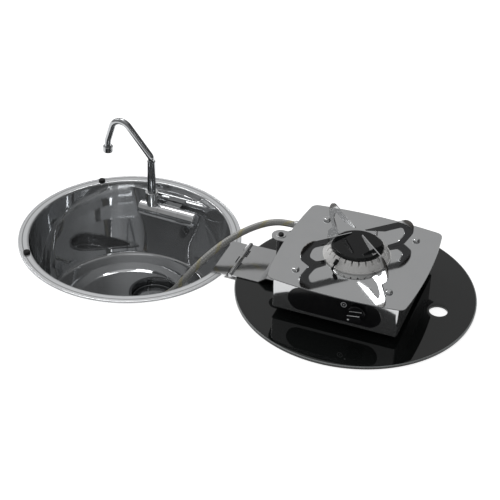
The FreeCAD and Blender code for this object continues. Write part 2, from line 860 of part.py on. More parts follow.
def make_spout():
    """Riser, bent spout tube and aerator, which swivel in the head."""
    well_floor = size.tap_radius - size.tap_depth
    riser = ring(
        "riser",
        size.riser_radius - size.riser_wall,
        size.riser_radius,
        well_floor + size.running_fit,
        size.riser_top,
    )
    keep(place(riser, riser_x, riser_y), "spout_riser")

    tube = new_body("spout")
    start = size.riser_top - size.spout_sunk
    spine = new_sketch(tube, "XZ_Plane")
    add_spine(spine, [
        (ZERO, start),
        (ZERO, size.spout_elbow_height, size.spout_elbow_round),
        (size.spout_peak_reach, size.spout_peak_height, size.spout_peak_round),
        (size.spout_drop_reach, size.spout_drop_height, size.spout_drop_round),
        (size.spout_drop_reach, size.spout_end_height),
    ])
    section = new_sketch(tube, "XY_Plane")
    section.setExpression("AttachmentOffset.Base.z", start.text)
    add_circle(section, ZERO, ZERO, size.spout_radius)
    add_circle(section, ZERO, ZERO, size.spout_radius - size.spout_wall)
    pipe = tube.newObject("PartDesign::AdditivePipe", "spout_pipe")
    pipe.Profile = section
    pipe.Spine = spine
    keep(place(tube, riser_x, riser_y, ZERO, spout_turn), "spout_tube")

    outlet_x = riser_x + size.spout_drop_reach * cosine(size.spout_angle)
    outlet_y = riser_y + size.spout_drop_reach * sine(size.spout_angle)
    seat = size.spout_end_height
    housing = revolved("aerator", [
        (size.aerator_insert_radius + size.running_fit, size.aerator_low),
        (size.aerator_radius, size.aerator_low, size.spout_wall),
        (size.aerator_radius, size.aerator_high, size.spout_wall),
        (size.spout_radius + size.running_fit, size.aerator_high),
        (size.spout_radius + size.running_fit, seat - size.running_fit),
        (size.aerator_insert_radius + size.running_fit, seat - size.running_fit),
    ])
    keep(place(housing, outlet_x, outlet_y), "aerator_ring")
    insert_low = size.aerator_low + size.spout_wall / 2
    insert_height = seat - 2 * size.running_fit - insert_low
    insert = cylinder("aerator_insert", size.aerator_insert_radius, insert_height)
    keep(place(insert, outlet_x, outlet_y, insert_low), "aerator_insert")


def add_spine(sketch, corners):
    """An open path of straight runs with rounds at its inner corners."""
    spots = [FreeCAD.Vector(x.value, y.value, 0) for x, y, *_ in corners]
    marks = []
    for spot, (x, y, *_) in zip(spots, corners):
        mark = sketch.addGeometry(Part.Point(spot), True)
        fix_point(sketch, mark, 1, x, y)
        marks.append(mark)
    rounds = [None] * len(corners)
    for index in range(1, len(corners) - 1):
        radius = corners[index][2]
        rounds[index] = rounding(spots[index - 1], spots[index], spots[index + 1], radius.value)
    runs = []
    for index in range(len(corners) - 1):
        start = rounds[index][1] if rounds[index] else spots[index]
        end = rounds[index + 1][0] if rounds[index + 1] else spots[index + 1]
        runs.append(sketch.addGeometry(Part.LineSegment(start, end)))
    sketch.addConstraint(Sketcher.Constraint("Coincident", runs[0], 1, marks[0], 1))
    sketch.addConstraint(Sketcher.Constraint("Coincident", runs[-1], 2, marks[-1], 1))
    for index in range(1, len(corners) - 1):
        _, _, shape, left = rounds[index]
        arc = sketch.addGeometry(shape)
        start, end = (1, 2) if left else (2, 1)
        arriving, leaving = runs[index - 1], runs[index]
        sketch.addConstraint(Sketcher.Constraint("PointOnObject", marks[index], 1, arriving))
        sketch.addConstraint(Sketcher.Constraint("PointOnObject", marks[index], 1, leaving))
        sketch.addConstraint(Sketcher.Constraint("Tangent", arriving, 2, arc, start))
        sketch.addConstraint(Sketcher.Constraint("Tangent", arc, end, leaving, 1))
        bind(sketch, "Radius", (arc,), corners[index][2])


KNUCKLES = 5
leaf_front = size.leaf_side - size.leaf_width / 2


def knuckle_start(number):
    return number * size.leaf_width / KNUCKLES + leaf_front


def knuckles(name, parity):
    """Every second knuckle of the hinge, from the first or from the second."""
    found = []
    for number in range(parity, KNUCKLES, 2):
        length = size.leaf_width / KNUCKLES - size.knuckle_gap
        item = cylinder(name, size.knuckle_radius, length)
        y = knuckle_start(number) + size.knuckle_gap / 2
        found.append(place(item, size.hinge_reach, y, hinge_level, TO_BACK))
    return found


def knuckle_reliefs(name, parity):
    """Room in a leaf for the other leaf's knuckles."""
    reach = size.knuckle_radius + size.leaf_relief
    found = []
    for number in range(parity, KNUCKLES, 2):
        item = cylinder(name, reach, size.leaf_width / KNUCKLES + size.knuckle_gap)
        y = knuckle_start(number) - size.knuckle_gap / 2
        found.append(place(item, size.hinge_reach, y, hinge_level, TO_BACK))
    return found


def pin_hole(name):
    hole = cylinder(name, size.pin_radius + size.running_fit, size.leaf_width + 4 * size.pin_head_length)
    return place(hole, size.hinge_reach, leaf_front - 2 * size.pin_head_length, hinge_level, TO_BACK)


def make_hinge():
    """Two leaves with interleaved knuckles on one pin; the lid's leaf steps up to carry the hob."""
    length = size.hinge_reach - size.sink_leaf_start
    plate = box("sink_leaf", length, size.leaf_width, size.leaf_thickness)
    place(plate, size.sink_leaf_start, leaf_front, leaf_seat)
    trimmed = cut("sink_leaf", plate, *knuckle_reliefs("sink_relief", 0))
    leaf = fused("sink_leaf_solid", trimmed, *knuckles("sink_knuckle", 1))
    keep(cut("sink_leaf_bored", leaf, pin_hole("sink_pin_hole")), "hinge_leaf_sink")

    low = size.glass_thickness
    high = case_level - size.leaf_thickness
    crease = size.hinge_reach + size.bracket_flat
    step = crease + size.bracket_slope
    tongue_end = step + size.bracket_tongue
    lean = size.leaf_thickness / 3
    strip = padded("lid_leaf", [
        (size.hinge_reach, low),
        (crease, low),
        (step, high),
        (tongue_end, high),
        (tongue_end, case_level),
        (step - lean, case_level),
        (crease - lean, low + size.leaf_thickness),
        (size.hinge_reach, low + size.leaf_thickness),
    ], size.leaf_width, "XZ_Plane")
    place(strip, ZERO, leaf_front + size.leaf_width)
    trimmed = cut("lid_leaf", strip, *knuckle_reliefs("lid_relief", 1))
    leaf = fused("lid_leaf_solid", trimmed, *knuckles("lid_knuckle", 0))
    keep(cut("lid_leaf_bored", leaf, pin_hole("lid_pin_hole")), "hinge_leaf_lid")

    pin_half = size.leaf_width / 2 + size.running_fit
    head_end = pin_half + size.pin_head_length
    pin = revolved("pin", [
        (ZERO, -head_end),
        (size.pin_head_radius, -head_end, size.pin_head_length / 2),
        (size.pin_head_radius, -pin_half),
        (size.pin_radius, -pin_half),
        (size.pin_radius, pin_half),
        (size.pin_head_radius, pin_half),
        (size.pin_head_radius, head_end, size.pin_head_length / 2),
        (ZERO, head_end),
    ])
    keep(place(pin, size.hinge_reach, size.leaf_side, hinge_level, TO_BACK), "hinge_pin")


def make_lid():
    """Glass disc with a finger hole, and the four posts that hold the hob above it."""
    bevel = size.glass_bevel
    disc = revolved("glass", [
        (ZERO, ZERO),
        (size.glass_radius - bevel, ZERO),
        (size.glass_radius, bevel),
        (size.glass_radius, size.glass_thickness - bevel),
        (size.glass_radius - bevel, size.glass_thickness),
        (ZERO, size.glass_thickness),
    ])
    place(disc, glass_middle)
    hole = cylinder("finger_hole", size.finger_hole_radius, size.glass_thickness * 3)
    place(hole, glass_middle + size.finger_hole_reach, ZERO, -size.glass_thickness)
    keep(cut("glass", disc, hole), "glass_lid")
    posts = []
    for side in (-1, 1):
        for depth in (-1, 1):
            post = cylinder("post", size.spacer_radius, size.case_lift)
            x = hob_middle + side * size.spacer_half_x
            posts.append(place(post, x, depth * size.spacer_half_y, size.glass_thickness))
    keep(group("posts", posts), "lid_spacers")


def make_case():
    """Folded hob case, open at the top, with the black control panel on its front."""
    outline = rectangle(size.case_half_x, size.case_half_y, size.case_round)
    block = padded("case_block", outline, size.case_height)
    place(block, hob_middle, ZERO, case_level)
    inner_x = size.case_half_x - size.case_sheet
    inner_y = size.case_half_y - size.case_sheet
    inner_round = size.case_round - size.case_sheet
    room = padded("case_room", rectangle(inner_x, inner_y, inner_round), size.case_height)
    place(room, hob_middle, ZERO, case_level + size.case_sheet)
    bore = size.valve_spindle_radius + 5 * size.loose_fit
    spindle_hole = cylinder("case_spindle_hole", bore, size.case_half_y)
    place(spindle_hole, knob_middle, -(size.case_half_y / 2), knob_level, TO_FRONT)
    inlet_hole = cylinder("case_inlet_hole", size.pipe_radius + size.loose_fit, size.case_half_x)
    place(inlet_hole, hob_middle - size.case_half_x / 2, size.inlet_back, inlet_level, TO_LEFT)
    keep(cut("case", block, room, spindle_hole, inlet_hole), "hob_case")

    end_round = size.panel_half_height - size.panel_thickness / 4
    panel = padded(
        "panel",
        rectangle(size.panel_half_length, size.panel_half_height, end_round),
        size.panel_thickness,
    )
    place(panel, hob_middle, -size.case_half_y, case_level + size.panel_rise, TO_FRONT)
    panel_hole = cylinder("panel_hole", bore, size.case_half_y)
    place(panel_hole, knob_middle, -(size.case_half_y / 2), knob_level, TO_FRONT)
    keep(cut("panel", panel, panel_hole), "control_panel")


def electrode_place(ring_radius, angle):
    return hob_middle + ring_radius * cosine(angle), ring_radius * sine(angle)


def at_screws(name, make):
    """One piece at each of the plate's four screws."""
    found = []
    for side in (-1, 1):
        for depth in (-1, 1):
            x = hob_middle + side * size.screw_half
            found.append((make(name), x, depth * size.screw_half))
    return found


def plate_holes(name, low, middle_radius):
    """Holes that the top plate and the carrier under it share."""
    depth = 4 * size.plate_thickness
    holes = [place(cylinder(name, middle_radius, depth), hob_middle, ZERO, low)]
    shank = size.screw_shank_radius + size.running_fit
    for hole, x, y in at_screws(name, lambda title: cylinder(title, shank, depth)):
        holes.append(place(hole, x, y, low))
    wires = (
        (size.electrode_angle, size.electrode_bush_radius + size.running_fit),
        (size.thermocouple_angle, size.thermocouple_radius + size.loose_fit),
    )
    for angle, radius in wires:
        x, y = electrode_place(size.electrode_ring, angle)
        holes.append(place(cylinder(name, radius, depth), x, y, low))
    return holes


def bowed_square(sketch, half, bow):
    """Four corners joined by sides that bow outwards by the same amount."""
    radius = (half * half + bow * bow) / (2 * bow)
    marks = []
    for x, y in ((-half, -half), (half, -half), (half, half), (-half, half)):
        mark = sketch.addGeometry(Part.Point(FreeCAD.Vector(x.value, y.value, 0)), True)
        fix_point(sketch, mark, 1, x, y)
        marks.append(mark)
    spread = math.asin(half.value / radius.value)
    reach = half.value + bow.value - radius.value
    for number, facing in enumerate((-90, 0, 90, 180)):
        turn = math.radians(facing)
        middle = FreeCAD.Vector(reach * math.cos(turn), reach * math.sin(turn), 0)
        circle = Part.Circle(middle, UP, radius.value)
        arc = sketch.addGeometry(Part.ArcOfCircle(circle, turn - spread, turn + spread))
        sketch.addConstraint(Sketcher.Constraint("Coincident", arc, 1, marks[number], 1))
        sketch.addConstraint(Sketcher.Constraint("Coincident", arc, 2, marks[(number + 1) % 4], 1))
        bind(sketch, "Radius", (arc,), radius)


def make_top_plate():
    """Polished top plate with bowed sides and a lug for the igniter, its screws and the carrier."""
    plate = new_body("plate")
    sketch = new_sketch(plate, "XY_Plane")
    bowed_square(sketch, size.plate_half, size.plate_bow)
    pad = add_pad(plate, sketch, size.plate_thickness)
    doc.recompute()
    corners = []
    for number, edge in enumerate(pad.Shape.Edges, start=1):
        ends = [vertex.Point for vertex in edge.Vertexes]
        if len(ends) == 2 and abs(ends[0].z - ends[1].z) > size.plate_thickness.value / 2:
            corners.append(f"Edge{number}")
    rounds = plate.newObject("PartDesign::Fillet", "plate_rounds")
    rounds.Base = (pad, corners)
    rounds.setExpression("Radius", size.plate_round.text)
    plate.Tip = rounds
    place(plate, hob_middle, ZERO, case_top)
    lug_end = size.lug_reach + size.lug_half
    lug_round = size.lug_half - size.running_fit
    lug = padded("plate_lug", [
        (-lug_end, size.lug_side - size.lug_half, lug_round),
        (-size.plate_half + size.plate_round, size.lug_side - size.lug_half),
        (-size.plate_half + size.plate_round, size.lug_side + size.lug_half),
        (-lug_end, size.lug_side + size.lug_half, lug_round),
    ], size.plate_thickness)
    place(lug, hob_middle, ZERO, case_top)
    igniter_bore = size.igniter_radius + size.running_fit
    igniter_hole = cylinder("igniter_hole", igniter_bore, 4 * size.plate_thickness)
    place(igniter_hole, hob_middle - size.lug_reach, size.lug_side, case_top - size.plate_thickness)
    low = case_top - size.plate_thickness
    holes = plate_holes("plate_hole", low, size.base_radius + size.loose_fit)
    slots = [tongue_slot(angle) for angle in SUPPORT_ANGLES.values()]
    keep(cut("plate", fused("plate_blank", plate, lug), igniter_hole, *holes, *slots), "top_plate")

    outline = rectangle(size.carrier_half, size.carrier_half, size.plate_round)
    carrier = padded("carrier", outline, size.carrier_sheet)
    place(carrier, hob_middle, ZERO, carrier_level)
    holes = plate_holes("carrier_hole", low, size.base_radius + size.loose_fit)
    slots = [tongue_slot(angle) for angle in SUPPORT_ANGLES.values()]
    keep(cut("carrier", carrier, *holes, *slots), "burner_carrier")

    def screw(name):
        return revolved(name, [
            (ZERO, -size.screw_shank_length),
            (size.screw_shank_radius, -size.screw_shank_length),
            (size.screw_shank_radius, ZERO),
            (size.screw_head_radius, ZERO),
            (size.screw_head_radius, size.screw_head_height, size.screw_head_height * 0.9),
            (ZERO, size.screw_head_height),
        ])

    screws = [place(item, x, y, plate_top) for item, x, y in at_screws("plate_screw", screw)]
    keep(group("screws", screws), "plate_screws")


SUPPORT_ANGLES = {"front_left": -135, "front_right": -45, "back_left": 135, "back_right": 45}


def support_middle():
    return (size.support_foot_start + size.support_foot_end) / 2


def tongue_slot(angle):
    """Slot in the top plate for the tongue of one pan support."""
    half_length = size.tongue_half + size.running_fit
    width = size.support_thickness + 2 * size.running_fit
    slot = box("tongue_slot", 2 * half_length, width, 4 * size.plate_thickness)
    turn = FreeCAD.Rotation(UP, angle)
    start = turn.multVec(FreeCAD.Vector((support_middle() - half_length).value, -width.value / 2, 0))
    spot = FreeCAD.Vector(hob_middle.value, 0, (case_top - size.plate_thickness).value)
    slot.Placement = FreeCAD.Placement(spot + start, turn)
    return slot


def make_pan_supports():
    """Four upright plates on the diagonals, each a hook with a finger over the burner."""
    for label, angle in SUPPORT_ANGLES.items():
        wing = new_body(f"support_{label}")
        sketch = new_sketch(wing, "XZ_Plane")
        add_outline(sketch, [
            (size.finger_start, size.support_height - size.finger_tip_depth),
            (size.finger_root, size.support_height - size.finger_depth, size.hook_round),
            (size.hook_top_reach, size.hook_top_height, size.hook_round),
            (size.hook_side_reach, size.hook_side_height, size.hook_round),
            (size.hook_low_reach, size.hook_low_height, size.hook_round),
            (size.support_foot_start, size.hook_foot_height),
            (size.support_foot_start, ZERO),
            (support_middle() - size.tongue_half, ZERO),
            (support_middle() - size.tongue_half, -size.tongue_depth),
            (support_middle() + size.tongue_half, -size.tongue_depth),
            (support_middle() + size.tongue_half, ZERO),
            (size.support_foot_end, ZERO, size.foot_round),
            (size.support_nose, size.support_height / 2 - size.foot_round, size.support_nose_round / 2),
            (size.support_nose, size.support_height, size.support_nose_round),
            (size.finger_start, size.support_height),
        ])
        add_pad(wing, sketch, size.support_thickness)
        turn = FreeCAD.Rotation(UP, angle)
        offset = turn.multVec(FreeCAD.Vector(0, size.support_thickness.value / 2, 0))
        middle = FreeCAD.Vector(hob_middle.value, 0, plate_top.value)
        wing.Placement = FreeCAD.Placement(middle + offset, turn)
        keep(wing, f"pan_support_{label}")


def make_burner():
    """Burner: mixing cup, slotted crown, cap, injector, spark electrode and thermocouple."""
    def over_plate(item, label):
        return keep(place(item, hob_middle, ZERO, plate_top), label)

    inner = size.base_radius - size.base_wall
    shoulder = -size.base_drop
    cone = shoulder - size.base_drop
    mixer_end = cone - size.mixer_length
    base = revolved("burner_base", [
        (size.mixer_bore, mixer_end),
        (size.mixer_radius, mixer_end),
        (size.mixer_radius, cone),
        (size.base_radius, shoulder),
        (size.base_radius, ZERO),
        (size.base_flange, ZERO),
        (size.base_flange, size.base_flange_height),
        (size.base_radius, size.base_flange_height),
        (size.base_radius, size.base_rise),
        (inner, size.base_rise),
        (inner, shoulder + size.base_wall),
        (size.mixer_bore, cone + size.base_wall),
    ])
    over_plate(base, "burner_base")

    crown = revolved("burner_crown", [
        (size.crown_foot, ZERO),
        (size.crown_foot, size.crown_foot_height),
        (size.crown_flank - size.crown_groove, size.crown_foot_height),
        (size.crown_flank - size.crown_groove, size.crown_foot_height + size.crown_groove),
        (size.crown_flank, size.crown_foot_height + size.crown_groove),
        (size.crown_top, size.crown_height),
        (size.crown_bore, size.crown_height),
        (size.crown_bore, size.base_rise),
        (size.crown_seat, size.base_flange_height),
        (size.base_flange + size.loose_fit, size.base_flange_height),
        (size.base_flange + size.loose_fit, ZERO),
    ])
    doc.recompute()
    sketch = new_sketch(crown, "XY_Plane")
    sketch.setExpression("AttachmentOffset.Base.z", size.crown_height.text)
    half = size.slot_width / 2
    add_outline(sketch, [
        (size.crown_bore / 2, -half),
        (size.crown_foot, -half),
        (size.crown_foot, half),
        (size.crown_bore / 2, half),
    ])
    slot = crown.newObject("PartDesign::Pocket", "flame_slot")
    slot.Profile = sketch
    slot.setExpression("Length", size.slot_depth.text)
    pattern = crown.newObject("PartDesign::PolarPattern", "flame_slots")
    pattern.Originals = [slot]
    pattern.Axis = (sketch, ["N_Axis"])
    pattern.Angle = 360
    pattern.setExpression("Occurrences", size.slot_count.text)
    crown.Tip = pattern
    over_plate(crown, "burner_crown")

    cap_top = size.crown_height + size.cap_height
    skirt = size.crown_bore - size.loose_fit
    cap = revolved("burner_cap", [
        (ZERO, size.crown_height),
        (skirt - size.base_wall, size.crown_height),
        (skirt - size.base_wall, size.crown_height - size.cap_skirt),
        (skirt, size.crown_height - size.cap_skirt),
        (skirt, size.crown_height),
        (size.cap_radius, size.crown_height),
        (size.cap_radius, cap_top - size.cap_round, size.cap_round),
        (size.cap_radius - size.cap_round * 2, cap_top, size.cap_round),
        (ZERO, cap_top),
    ])
    over_plate(cap, "burner_cap")

    jet_bore = size.mixer_bore / 4
    jet = ring("injector", jet_bore, size.injector_radius, mixer_end - size.injector_height, mixer_end)
    over_plate(jet, "injector")

    x, y = electrode_place(size.electrode_ring, size.electrode_angle)
    below = size.carrier_sheet + size.plate_thickness
    wire_end = size.electrode_wire_length
    electrode = revolved("electrode", [
        (ZERO, ZERO),
        (size.electrode_wire_radius, ZERO),
        (size.electrode_wire_radius, wire_end),
        (size.electrode_bead_radius, wire_end, size.electrode_wire_radius / 2),
        (size.electrode_bead_radius, wire_end + size.electrode_bead_length, size.electrode_wire_radius),
        (ZERO, wire_end + size.electrode_bead_length),
    ])
    lean = FreeCAD.Rotation(FreeCAD.Vector(0, 1, 0), size.electrode_lean.value)
    place(electrode, x, y, plate_top, lean)
    bush = cylinder("electrode_bush", size.electrode_bush_radius, below + size.electrode_bush_rise)
    place(bush, x, y, plate_top - below)
    keep(fused("electrode_solid", bush, electrode), "spark_electrode")

    x, y = electrode_place(size.electrode_ring, size.thermocouple_angle)
    rod_length = size.thermocouple_height + size.carrier_sheet + 3 * size.plate_thickness
    rod = revolved("thermocouple", [
        (ZERO, ZERO),
        (size.thermocouple_radius, ZERO),
        (size.thermocouple_radius, rod_length, size.thermocouple_radius * 0.8),
        (ZERO, rod_length),
    ])
    keep(place(rod, x, y, plate_top + size.thermocouple_height - rod_length), "thermocouple")


def bent_tube(points, radius, turns):
    """A round bar along straight runs joined by tangent arcs, with one radius for each inner point."""
    spots = [FreeCAD.Vector(*point) for point in points]
    edges = []
    start = spots[0]
    for before, corner, after, turn in zip(spots, spots[1:], spots[2:], turns):
        inward = (corner - before).normalize()
        outward = (after - corner).normalize()
        half = inward.getAngle(outward) / 2
        trim = turn * math.tan(half)
        first = corner - inward * trim
        last = corner + outward * trim
        bisector = (outward - inward).normalize()
        middle = corner + bisector * (turn / math.cos(half) - turn)
        edges.append(Part.LineSegment(start, first).toShape())
        edges.append(Part.Arc(first, middle, last).toShape())
        start = last
    edges.append(Part.LineSegment(start, spots[-1]).toShape())
    path = Part.Wire(edges)
    section = Part.Wire(Part.Circle(spots[0], spots[1] - spots[0], radius).toShape())
    solid = Part.Wire(path.Edges).makePipeShell([section], True, False)
    return solid, path.Length


def add_tube(label, points, radius, turns):
    """A tube as a finished sub-part, with its volume tested against section times length."""
    solid, length = bent_tube(points, radius, turns)
    ideal = math.pi * radius**2 * length
    if abs(solid.Volume - ideal) > 0.02 * ideal:
        raise ValueError(f"{label} has volume {solid.Volume:.0f} and should have {ideal:.0f}")
    item = doc.addObject("Part::Feature", label)
    item.Shape = solid
    keep(item, label)
    return length


def make_gas_line():
    """Valve, its pipes, the inlet on the case and the pieces of the knob."""
    wall_face = -(size.case_half_y - size.case_sheet)
    neck_face = size.running_fit
    neck_end = neck_face + size.valve_neck_length
    valve_block = padded("valve_block", rectangle(size.valve_half_x, size.valve_half_z), size.valve_depth)
    place(valve_block, knob_middle, wall_face + neck_end, knob_level, TO_BACK)
    neck = cylinder("valve_neck", size.valve_neck_radius, size.valve_neck_length + size.loose_fit)
    place(neck, knob_middle, wall_face + neck_face, knob_level, TO_BACK)
    bore = cylinder("valve_bore", size.valve_spindle_radius + size.running_fit, size.valve_bore_depth)
    place(bore, knob_middle, wall_face, knob_level, TO_BACK)
    keep(cut("valve", fused("valve_solid", valve_block, neck), bore), "gas_valve")

    spindle_start = wall_face + size.valve_spindle_inside
    reach = size.valve_spindle_inside + size.case_sheet + size.panel_thickness + size.valve_spindle_outside
    spindle = cylinder("valve_spindle", size.valve_spindle_radius, reach)
    keep(place(spindle, knob_middle, spindle_start, knob_level, TO_FRONT), "valve_spindle")

    socket = size.valve_spindle_radius + size.running_fit
    socket_depth = size.valve_spindle_outside - size.knob_travel_gap + size.running_fit
    knob_turned = revolved("knob_base", [
        (socket, ZERO),
        (size.knob_radius, ZERO),
        (size.knob_radius, size.knob_base_height, size.knob_base_height / 4),
        (ZERO, size.knob_base_height),
        (ZERO, size.knob_base_height - size.case_sheet),
        (socket, size.knob_base_height - size.case_sheet),
    ])
    place(knob_turned, knob_middle, panel_face - size.knob_travel_gap, knob_level, TO_FRONT)
    grip = padded(
        "knob_grip",
        rectangle(size.knob_grip_half_length, size.knob_grip_half_width, size.knob_grip_half_width / 2),
        size.knob_grip_height,
    )
    grip_turn = TO_FRONT.multiply(FreeCAD.Rotation(UP, size.knob_grip_turn.value))
    place(grip, knob_middle, panel_face - size.knob_travel_gap, knob_level, grip_turn)
    hollow = cylinder("knob_socket", socket, socket_depth)
    place(hollow, knob_middle, panel_face - size.knob_travel_gap, knob_level, TO_FRONT)
    keep(cut("gas_knob", fused("knob_solid", knob_turned, grip), hollow), "gas_knob")

    left_face = hob_middle - size.case_half_x
    spot = (left_face, size.inlet_back, inlet_level, TO_LEFT)
    stem = revolved("inlet_stem", [
        (ZERO, -(size.case_sheet + size.inlet_hex_length)),
        (size.pipe_radius, -(size.case_sheet + size.inlet_hex_length)),
        (size.pipe_radius, size.inlet_hex_length / 2),
        (size.inlet_nipple_radius, size.inlet_hex_length / 2),
        (size.inlet_nipple_radius, size.inlet_hex_length + size.inlet_nipple_length),
        (ZERO, size.inlet_hex_length + size.inlet_nipple_length),
    ])
    flats = padded("inlet_flats", hexagon(size.inlet_hex_radius), size.inlet_hex_length)
    keep(fused("gas_inlet", place(stem, *spot), place(flats, *spot)), "gas_inlet")

    radius = size.pipe_radius.value
    bend = size.pipe_round.value
    inlet_x = (left_face + size.case_sheet + size.inlet_hex_length).value
    valve_x = (knob_middle - size.valve_half_x).value
    valve_y = (wall_face + neck_end + size.valve_depth / 2).value
    run_x = inlet_x + 2 * bend
    supply = [
        (inlet_x, size.inlet_back.value, inlet_level.value),
        (run_x, size.inlet_back.value, inlet_level.value),
        (run_x, valve_y, knob_level.value),
        (valve_x, valve_y, knob_level.value),
    ]
    add_tube("supply_pipe", supply, radius, [bend, bend])
    jet_level = plate_top - 2 * size.base_drop - size.mixer_length - size.injector_height / 2
    burner_feed = [
        (knob_middle.value, (wall_face + neck_end + size.valve_depth).value, knob_level.value),
        (knob_middle.value, -bend * 1.6, knob_level.value),
        (knob_middle.value - bend, 0.0, jet_level.value),
        (hob_middle.value + size.injector_radius.value, 0.0, jet_level.value),
    ]
    feed_turns = [bend, bend / 2]
    add_tube("burner_pipe", burner_feed, radius, feed_turns)


def make_igniter():
    """Push-button spark igniter in the plate's lug."""
    x = hob_middle - size.lug_reach
    below = size.igniter_length + size.plate_thickness
    body = revolved("igniter_body", [
        (ZERO, -below),
        (size.igniter_radius, -below),
        (size.igniter_radius, ZERO),
        (size.igniter_flange, ZERO),
        (size.igniter_flange, size.igniter_flange_height, size.igniter_flange_height / 2),
        (size.igniter_bore, size.igniter_flange_height),
        (size.igniter_bore, -size.igniter_length),
        (ZERO, -size.igniter_length),
    ])
    keep(place(body, x, size.lug_side, plate_top), "igniter_body")
    bore = size.igniter_radius + size.running_fit
    spot = (x, size.lug_side, case_top - size.igniter_nut_height)
    nut = hex_nut("igniter_nut", bore, size.igniter_nut_radius, size.igniter_nut_height, spot)
    keep(nut, "igniter_nut")
    button = revolved("igniter_button", [
        (ZERO, size.button_stand - size.button_length),
        (size.button_radius, size.button_stand - size.button_length),
        (size.button_radius, size.button_stand, size.button_radius / 4),
        (ZERO, size.button_stand),
    ])
    keep(place(button, x, size.lug_side, plate_top), "igniter_button")


def make_hose(bowl_inside, bowl_outside):
    """Braided hose, its two ferrules, and the gland that takes it through the bowl's wall."""
    seat = gland_seat - size.gland_seal
    hex_front = seat - size.gland_hex_length
    stem = size.gland_seal + size.gland_stem_length
    turned = revolved("gland_stem", [
        (ZERO, -(size.gland_hex_length + size.inlet_nipple_length)),
        (size.inlet_nipple_radius, -(size.gland_hex_length + size.inlet_nipple_length)),
        (size.inlet_nipple_radius, -(size.gland_hex_length / 2)),
        (size.gland_stem_radius, -(size.gland_hex_length / 2)),
        (size.gland_stem_radius, stem),
        (size.pipe_radius, stem),
        (size.pipe_radius, stem + size.gas_tail_length),
        (ZERO, stem + size.gas_tail_length),
    ])
    place(turned, ZERO, -seat, gland_level, TO_FRONT)
    flats = padded("gland_flats", hexagon(size.gland_hex_radius), size.gland_hex_length)
    place(flats, ZERO, -hex_front, gland_level, TO_FRONT)
    keep(fused("gland_body", turned, flats), "gland_body")

    bore = size.gland_stem_radius + size.running_fit
    thick = size.gland_seal * 2
    inner = ring("gland_ring_inner", bore, size.gland_hex_radius, ZERO, thick)
    place(inner, ZERO, -seat, gland_level, TO_FRONT)
    keep(common("gland_seal_inner", inner, bowl_inside), "gland_seal_inner")
    outer = ring("gland_ring_outer", bore, size.gland_hex_radius, ZERO, thick + size.bowl_sheet)
    place(outer, ZERO, -(seat + size.bowl_sheet), gland_level, TO_FRONT)
    keep(cut("gland_seal_outer", outer, bowl_outside), "gland_seal_outer")
    nut_seat = seat + 2 * size.bowl_sheet + thick
    spot = (ZERO, -nut_seat, gland_level, TO_FRONT)
    keep(hex_nut("gland_nut", bore, size.gland_hex_radius, size.gland_nut_height, spot), "gland_nut")

    hose_bore = size.inlet_nipple_radius + size.running_fit
    for label, at_hob in (("hose_ferrule_hob", True), ("hose_ferrule_sink", False)):
        ferrule = revolved(label, [
            (hose_bore, ZERO),
            (size.ferrule_radius, ZERO),
            (size.ferrule_radius, size.ferrule_length, size.ferrule_radius / 5),
            (hose_bore, size.ferrule_length),
        ])
        if at_hob:
            left_face = hob_middle - size.case_half_x - size.inlet_hex_length
            place(ferrule, left_face, size.inlet_back, inlet_level, TO_LEFT)
        else:
            place(ferrule, ZERO, -hex_front, gland_level, TO_BACK)
        keep(ferrule, label)

    turns = []
    spots = [FreeCAD.Vector(*point) for point in HOSE_ROUTE]
    for before, corner, after in zip(spots, spots[1:], spots[2:]):
        turn = (corner - before).getAngle(after - corner)
        shorter = min((corner - before).Length, (after - corner).Length)
        turns.append(0.45 * shorter / math.tan(turn / 2))
    length = add_tube("gas_hose", HOSE_ROUTE, size.hose_radius.value, turns)
    print("hose bend radii", [round(turn) for turn in turns])
    print("hose length", round(length, 1))


bowl_inside_body, bowl_outside_body = make_bowl()
make_rim_trim()
make_waste()
make_tap()
make_spout()
make_hinge()
make_lid()
make_case()
make_top_plate()
make_pan_supports()
make_burner()
make_gas_line()
make_igniter()
make_hose(bowl_inside_body, bowl_outside_body)
doc.recompute()

for item in doc.Objects:
    if "Invalid" in item.State or "Error" in item.State:
        raise ValueError(f"{item.Label} could not be built: {item.State}")
for piece in pieces:
    if piece.Shape.isNull() or not piece.Shape.isValid() or piece.Shape.Volume <= 0:
        raise ValueError(f"{piece.Label} has no valid solid")

os.makedirs("parts", exist_ok=True)
for piece in pieces:
    piece.Shape.exportStep(f"parts/{piece.Label}.step")
    print(f"{piece.Label}: {len(piece.Shape.Solids)} solid, {piece.Shape.Volume:.0f} cubic mm")
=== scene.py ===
import bpy
import numpy as np
from bpy.props import FloatProperty, FloatVectorProperty, IntProperty, PointerProperty
from mathutils import Matrix, Vector


